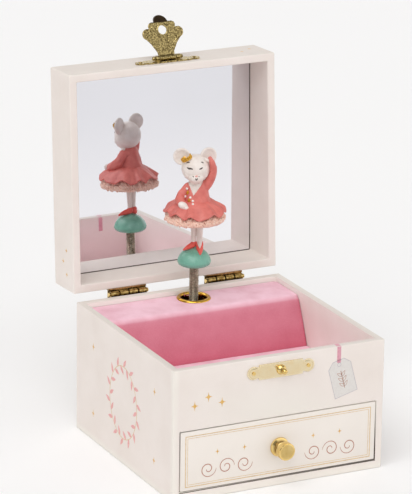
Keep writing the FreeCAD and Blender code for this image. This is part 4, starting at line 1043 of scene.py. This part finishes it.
# Figure ------------------------------------------------------------------------------------------

def sculpted(piece, look, sharp=50):
    return placed(piece, look, "figure", FIGURE, sharp)


def tree_of(piece):
    bm = bmesh.new()
    bm.from_mesh(piece.data)
    tree = BVHTree.FromBMesh(bm)
    bm.free()
    return tree


def front_of(trees, x, z):
    """The foremost point and its normal at x, z, seen from the figure's front."""
    hits = [t.ray_cast(Vector((x, -40, z)), Vector((0, 1, 0))) for t in trees]
    hits = [h for h in hits if h[0] is not None]
    best = min(hits, key=lambda h: h[0].y)
    return best[0], best[1]


def stroke(trees, points, width):
    """A painted line that follows the surface."""
    path = []
    points = rounded(points, 5)
    for k, (x, z) in enumerate(points):
        at, normal = front_of(trees, x, z)
        at = at - normal * width * 0.35
        path.append((*at, width * (0.55 + 0.45 * math.sin(math.pi * k / (len(points) - 1)))))
    return tube(path, 8)


def ear(x, y, z, turn):
    """A round ear hollowed at the front."""
    profile = [(0, -0.9), (2.1, -0.85), (3.5, -0.5), (4.2, 0.1), (4.3, 0.7), (4.0, 1.1), (3.5, 1.1), (2.7, 0.65),
               (1.5, 0.35), (0, 0.3)]
    place = (Matrix.Translation((x, y, z)) @ Matrix.Rotation(math.radians(turn), 4, "Z")
             @ Matrix.Rotation(math.pi / 2, 4, "X"))
    return moved(lathe(profile, 48), place)


HEAD = Vector((0.2, -0.2, 128.3))


def make_head():
    head = clay("head", [
        egg(HEAD, (6.9, 6.5, 6.8)),
        egg((0.0, -3.4, 125.0), (4.1, 3.6, 3.7)),
        egg((-0.3, -5.9, 124.7), (2.5, 2.1, 2.0)),
        egg((0.0, -2.6, 123.4), (3.0, 3.0, 2.7)),
        egg((HEAD.x - 3.6, -2.4, 126.2), (2.6, 2.8, 2.6)),
        egg((HEAD.x + 3.2, -2.4, 126.2), (2.6, 2.8, 2.6)),
        ear(-6.4, 0.8, 134.0, -14),
        ear(6.1, 0.4, 134.2, 14),
        tube([(0.5, 0.2, 119.6, 2.6), (0.3, 0, 122.6, 2.4)], 32),
    ], 0.2, 7)
    tree = [tree_of(head)]
    marks = [
        stroke(tree, [(-4.5, 130.0), (-3.7, 129.6), (-2.9, 129.7), (-2.0, 129.5)], 0.5),
        stroke(tree, [(1.2, 129.5), (2.0, 129.7), (2.9, 130.1)], 0.4),
        stroke(tree, [(-4.6, 131.8), (-3.9, 132.2), (-3.3, 132.2)], 0.35),
        stroke(tree, [(2.2, 132.6), (2.8, 132.4), (3.4, 132.0)], 0.35),
        stroke(tree, [(-0.8, 125.2), (-0.3, 124.6), (0.3, 125.3)], 0.4),
        stroke(tree, [(-1.9, 126.2), (-1.6, 125.8)], 0.3),
        stroke(tree, [(0.9, 126.2), (1.2, 125.8)], 0.3),
    ]
    sculpted(raw("face_marks", together(*marks)), DARK_INK)
    nose, _ = front_of(tree, -0.2, 126.2)
    sculpted(clay("nose_tip", [egg(nose, (0.75, 0.5, 0.5))], 0.08, 3), NOSE_PINK)
    sculpted(head, WHITE)


V_FOOT = (-1.3, 116.0)


def neckline(x, z):
    """How far x, z lies inside the open neck of the dress, in millimetres."""
    left = (z - V_FOOT[1]) * 0.42 + (x - V_FOOT[0])
    right = (z - V_FOOT[1]) * 0.78 - (x - V_FOOT[0])
    return min(left, right)


def make_torso():
    dress = clay("dress_body", [
        tube([(0.7, 0, 111.2, 6.9), (0.8, 0, 112.7, 6.5), (0.9, 0, 114.6, 5.9), (1.0, 0, 117.0, 5.3),
              (1.0, 0, 119.0, 4.6)], 48),
        egg((0.7, 0, 119.4), (5.6, 3.8, 2.5)),
        tube(rounded([(-3.4, 0.0, 118.8, 2.2), (-5.0, -0.3, 116.9, 2.2), (-6.6, -0.9, 114.9, 2.3),
                      (-7.6, -2.6, 113.4, 2.3), (-7.2, -5.4, 112.3, 1.95)], 4), 28),
        tube(rounded([(4.1, -0.6, 118.8, 2.6), (6.1, -1.0, 121.2, 2.2), (7.7, -1.6, 124.4, 1.85),
                      (8.3, -2.4, 127.8, 1.65), (7.9, -3.0, 131.0, 1.5), (6.7, -3.2, 133.9, 1.0)], 4), 28),
    ], 0.2, 5)

    def cloth(at, normal):
        open_by = neckline(at.x, at.z)
        front = smoothstep(0.1, -0.3, normal.y)
        folds = 0.16 * math.sin(1.5 * at.x + 0.6 * at.z + 1.2 * noise.noise(at * 0.35)) * smoothstep(122, 112, at.z)
        lapel = 0.32 * smoothstep(0.25, -0.25, open_by) * front
        return normal * (lapel + folds * smoothstep(0.4, -0.6, open_by))
    shift(dress, cloth)
    for finish in (CORAL, WHITE):
        dress.data.materials.append(finish)
    paint(dress, lambda c, n: 1 if neckline(c.x, c.z) > 0 and n.y < 0.1 and c.z < 123 and abs(c.x) < 5 else 0)
    trees = [tree_of(dress)]
    mesh = dress.data
    mesh.transform(Matrix.Scale(MM, 4) @ FIGURE)
    mesh.shade_smooth()
    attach(dress, "figure")
    hand = clay("paws", [
        egg((-6.6, -7.9, 111.9), (2.5, 1.7, 1.8), Matrix.Rotation(0.5, 4, "Y")),
        egg((-5.0, -8.8, 110.9), (1.2, 1.0, 0.9)),
        egg((5.4, -3.0, 133.0), (1.5, 1.0, 0.9), Matrix.Rotation(0.5, 4, "Y")),
    ], 0.18, 5)
    sculpted(hand, WHITE)
    return trees


def make_trim(trees):
    """Pearls and two gold flowers sewn along the wrap's edge."""
    pearls, flowers = [], []
    for x, z in ((-4.2, 118.7), (-5.0, 114.9), (-2.8, 115.0), (-1.7, 113.5)):
        at, _ = front_of(trees, x, z)
        pearls.append(egg(at, (0.6, 0.6, 0.6), segments=24))
    pearls.append(egg((-1.8, -7.8, 112.5), (0.55, 0.55, 0.55), segments=24))
    sculpted(raw("pearls", together(*pearls)), PEARL, 80)
    for x, z in ((-3.9, 116.9), (-3.4, 113.5)):
        at, normal = front_of(trees, x, z)
        turn = normal.to_track_quat("Z", "Y").to_matrix().to_4x4()
        for k in range(5):
            petal = Matrix.Rotation(2 * math.pi * k / 5, 4, "Z") @ Matrix.Translation((0.6, 0, 0.15))
            place = Matrix.Translation(at) @ turn @ petal
            flowers.append(moved(egg((0, 0, 0), (0.5, 0.34, 0.26), segments=16), place))
        flowers.append(egg(at + normal * 0.3, (0.3, 0.3, 0.3), segments=16))
    sculpted(raw("flowers", together(*flowers)), GOLD_PAINT, 80)


def make_crown():
    """A narrow ribbed crown that leans over the left ear."""
    turn = (Matrix.Translation((-4.5, -2.0, 133.8))
            @ Vector((-0.5, 0.05, 0.86)).to_track_quat("Z", "Y").to_matrix().to_4x4())
    profile = [(1.9, -0.8), (2.5, -0.9), (2.65, -0.6), (2.45, -0.25), (2.5, 0.3), (2.7, 0.65), (2.65, 0.9), (2.4, 0.85),
               (2.0, 0.5)]

    def ribs(angle, row):
        wave = math.sin(16 * angle)
        return (0.12 * wave if 1 < row < 7 else 0, 0.2 * wave if row in (5, 6) else 0)
    crown = moved(lathe(profile, 128, ring=True, wave=ribs), turn)
    beads = [moved(egg((0, 0, 0), (0.34, 0.3, 0.42), segments=16),
                   turn @ Matrix.Rotation(2 * math.pi * k / 12, 4, "Z") @ Matrix.Translation((2.5, 0, 0.02)))
             for k in range(12)]
    sculpted(raw("crown", together(crown, *beads)), GOLD_PAINT, 50)


def make_skirts():
    """The gathered skirt with a waved hem, over a crumpled lace petticoat."""
    top, rim = span("skirt")[1][2], (span("skirt")[1][0] - span("skirt")[0][0]) / 2 - 0.7
    outer = [(4.5, top), (7.0, top - 0.7), (10.0, top - 2.2), (13.0, top - 4.1), (rim - 0.3, top - 5.4),
             (rim, top - 6.0), (rim - 0.15, top - 6.35)]
    inner = [(rim - 0.7, top - 6.2), (12.5, top - 5.0), (9.8, top - 3.4), (6.5, top - 2.0), (4.2, top - 1.4)]
    rows = [tuple(p) for p in rounded(outer, 4)] + [tuple(p) for p in rounded(inner, 4)]

    def ruffle(angle, row):
        strength = smoothstep(5, rim, rows[row][0]) ** 1.4
        fold = 10 * angle + 1.0 * math.sin(3 * angle + 0.5) + 0.5 * math.sin(7 * angle)
        broad = math.sin(fold) + 0.25 * math.sin(5 * angle + 0.4)
        puff = 1 - abs(math.sin(fold / 2 + 0.6)) ** 1.6
        fine = math.sin(23 * angle + 1.5 * math.sin(3 * angle))
        return (strength * (0.45 * math.cos(fold + 0.5) + 0.06 * fine) - 0.2 * strength,
                strength * (0.85 * broad + 0.1 * fine) + 0.55 * puff * smoothstep(5, 9, rows[row][0]) * (1 - strength))
    skirt = raw("skirt_sculpted", lathe(rows, 420, ring=True, wave=ruffle))
    sculpted(skirt, CORAL, 70)
    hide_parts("skirt")
    lace_low, lace_high = span("underskirt")
    rim, hem, top = (lace_high[0] - lace_low[0]) / 2, lace_low[2], lace_high[2]
    layers = []
    for number, (drop, reach) in enumerate(((0.0, -0.2), (1.5, -0.9))):
        outer = [(4.0, top - 0.6 - drop), (8.0, top - 1.7 - drop), (11.4, top - 3.5 - drop),
                 (13.6, top - 5.4 - drop * 0.7), (rim - 0.7 + reach, hem + 2.8 - drop * 0.3),
                 (rim - 0.4 + reach, hem + 1.4), (rim - 0.8 + reach, hem + 0.7)]
        inner = [(r - 0.75, z - 0.3) for r, z in outer[::-1]]
        inner[-1] = (3.4, outer[0][1] - 0.6)
        rows = [tuple(p) for p in rounded(outer, 4)] + [tuple(p) for p in rounded(inner, 4)]

        def crumple(angle, row, rows=rows, number=number):
            radius, height = rows[row]
            strength = smoothstep(7, 14, radius)
            at = Vector((math.cos(angle) * 7, math.sin(angle) * 7, height * 0.35 + number * 7.0))
            broad, fine = noise.noise(at), noise.noise(at * 3.1 + Vector((0, 0, 20)))
            jag = noise.noise(Vector((math.cos(angle) * 24, math.sin(angle) * 24, number * 3.0)))
            frayed = smoothstep(hem + 3.0, hem + 0.7, height)
            return strength * (0.9 * broad + 0.5 * fine), strength * (0.7 * fine + 0.5 * broad + 0.75 * jag * frayed)
        layers.append(lathe(rows, 640, ring=True, wave=crumple))
    lace = raw("petticoat", together(*layers))
    sculpted(lace, LACE, 80)
    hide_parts("underskirt")


def make_legs():
    legs = clay("legs", [
        tube([(-0.4, 0.3, 89.0, 1.05), (-0.4, 0.3, 93.0, 1.1), (-0.6, 0.3, 100.0, 1.4), (-0.8, 0.4, 106.0, 1.6)], 28),
        tube([(2.45, -0.3, 88.9, 1.3), (2.45, -0.2, 93.0, 1.4), (2.6, -0.1, 100.0, 1.7), (2.7, 0.2, 106.0, 1.8)], 28),
        tube([(2.45, -0.6, 90.6, 1.25), (2.4, -1.9, 89.6, 0.8), (2.35, -3.2, 88.6, 0.3)], 20),
    ], 0.18, 4)
    sculpted(legs, WHITE)
    shoes = clay("slippers", [
        tube(rounded([(-0.2, 0.5, 89.6, 1.35), (-1.6, -0.4, 89.2, 1.4), (-3.4, -1.4, 88.7, 1.1),
                      (-5.4, -2.4, 87.9, 0.5)], 4), 28),
        egg((-0.35, 0.4, 90.3), (1.35, 1.5, 1.5)),
        tube(rounded([(2.5, 0.5, 88.9, 1.65), (2.45, -1.4, 88.1, 1.75), (2.4, -3.2, 87.2, 1.3), (2.3, -4.9, 86.2, 0.55)],
                     4), 28),
        tube([(1.15, -0.2, 91.0, 0.35), (1.2, -1.0, 89.6, 0.6)], 16),
        tube([(3.8, -0.2, 91.0, 0.35), (3.7, -1.0, 89.6, 0.6)], 16),
        egg((2.5, 0.6, 90.0), (1.75, 1.2, 1.5)),
    ], 0.16, 4)
    sculpted(shoes, SLIPPER)


def make_dome():
    low, high = span("dome_base")
    reach, top = (high[0] - low[0]) / 2, high[2]
    profile = [(0, low[2]), (reach - 2.2, low[2]), (reach - 1.3, low[2] + 0.12), (reach - 0.5, low[2] + 0.65),
               (reach - 0.08, low[2] + 1.5), (reach, low[2] + 2.2)]
    waist = low[2] + 2.2
    rise = top - waist
    ball = (reach ** 2 + rise ** 2) / (2 * rise)
    for k in range(1, 20):
        radius = reach * (1 - (k / 19) ** 1.6)
        profile.append((radius, top - ball + math.sqrt(ball ** 2 - radius ** 2)))
    profile[-1] = (0, top)
    dome = placed(raw("dome", lathe(profile, 128)), GREEN, "figure",
                  Matrix.Translation((STAGE.x, STAGE.y, 0)), sharp=50)
    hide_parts("dome_base")


def make_figure():
    make_dome()
    make_head()
    trees = make_torso()
    make_trim(trees)
    make_crown()
    make_skirts()
    make_legs()
    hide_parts("mouse_dancer")


# CAD nodes that stay in view ---------------------------------------------------------------------

def dress_nodes():
    looks = {
        "polished_brass": BRASS, "antique_brass": ANTIQUE, "spring_steel": STEEL, "movement_metal": WORKS,
        "gear_brass": GEARS, "case_paper": CREAM, "board_wood": BOARD, "velvet_pink": VELVET,
    }
    slots = {part["node"]: part["material_slot"] for part in frame["record"]["subparts"]}
    for name, node in frame["nodes"].items():
        look = looks.get(slots.get(name), CREAM)
        node.data.materials.clear()
        node.data.materials.append(look)


# Studio ------------------------------------------------------------------------------------------

IMAGE_WIDE, IMAGE_TALL = 412, 494
SENSOR = 36.0
FOCAL_PIXELS = 3330.2
AZIMUTH, ELEVATION, ROLL = -26.385, 18.04, 0.779
CAMERA_MM = (-677.95, -1333.14, 581.61)


def make_camera():
    data = bpy.data.cameras.new("camera")
    camera = bpy.data.objects.new("camera", data)
    bpy.context.scene.collection.objects.link(camera)
    data.sensor_width = SENSOR
    data.lens = FOCAL_PIXELS / IMAGE_TALL * SENSOR
    data.shift_x = 0.0162
    data.shift_y = 0.0255
    data.clip_start, data.clip_end = 0.05, 30
    a, e, r = (math.radians(v) for v in (AZIMUTH, ELEVATION, ROLL))
    back = Vector((math.sin(a) * math.cos(e), -math.cos(a) * math.cos(e), math.sin(e)))
    right = Vector((math.cos(a), math.sin(a), 0))
    up = back.cross(right)
    right, up = right * math.cos(r) + up * math.sin(r), up * math.cos(r) - right * math.sin(r)
    place = Matrix((right, up, back)).transposed().to_4x4()
    place.translation = Vector(CAMERA_MM) * MM
    camera.matrix_world = place
    bpy.context.scene.camera = camera


def make_sky():
    """A bright room with a few darker stretches, which the metals show."""
    world = bpy.data.worlds.new("studio")
    world.use_nodes = True
    nodes, links = world.node_tree.nodes, world.node_tree.links
    place = nodes.new("ShaderNodeTexCoord")
    patches = nodes.new("ShaderNodeTexNoise")
    patches.inputs["Scale"].default_value = 1.7
    patches.inputs["Detail"].default_value = 1.0
    links.new(place.outputs["Generated"], patches.inputs["Vector"])
    ramp = nodes.new("ShaderNodeValToRGB")
    ramp.color_ramp.elements[0].position, ramp.color_ramp.elements[1].position = 0.42, 0.56
    ramp.color_ramp.elements[0].color = (0.22, 0.215, 0.21, 1)
    ramp.color_ramp.elements[1].color = (1.0, 0.99, 0.98, 1)
    links.new(patches.outputs["Fac"], ramp.inputs["Fac"])
    links.new(ramp.outputs["Color"], nodes["Background"].inputs["Color"])
    nodes["Background"].inputs["Strength"].default_value = 1.24
    bpy.context.scene.world = world


def make_studio():
    make_sky()
    bpy.context.scene.view_settings.view_transform = "Standard"
    bpy.context.scene.view_settings.look = "None"
    data = bpy.data.lights.new("sun", "SUN")
    data.energy = 1.15
    data.angle = math.radians(50)
    sun = bpy.data.objects.new("sun", data)
    bpy.context.scene.collection.objects.link(sun)
    sun.rotation_euler = Vector((0.45, 0.5, -1.0)).to_track_quat("-Z", "Y").to_euler()
    mesh = bpy.data.meshes.new("floor")
    mesh.from_pydata([(-8, -8, 0), (8, -8, 0), (8, 8, 0), (-8, 8, 0)], [], [[0, 1, 2, 3]])
    look = Look("studio_floor", Roughness=0.9, Specular_IOR_Level=0.0)
    look.colour(look.mix(look.noise(0.004), srgb(250, 250, 250), srgb(248, 248, 249)))
    mesh.materials.append(look.material)
    floor = bpy.data.objects.new("floor", mesh)
    bpy.context.scene.collection.objects.link(floor)


dress_nodes()
make_case()
make_lid()
make_drawer()
make_velvet()
make_front_prints()
make_tag()
make_side_prints()
make_knob()
make_eyelet()
make_hinges()
make_strike()
make_hasp()
make_stem()
make_figure()
make_camera()
make_studio()

bpy.context.view_layer.update()
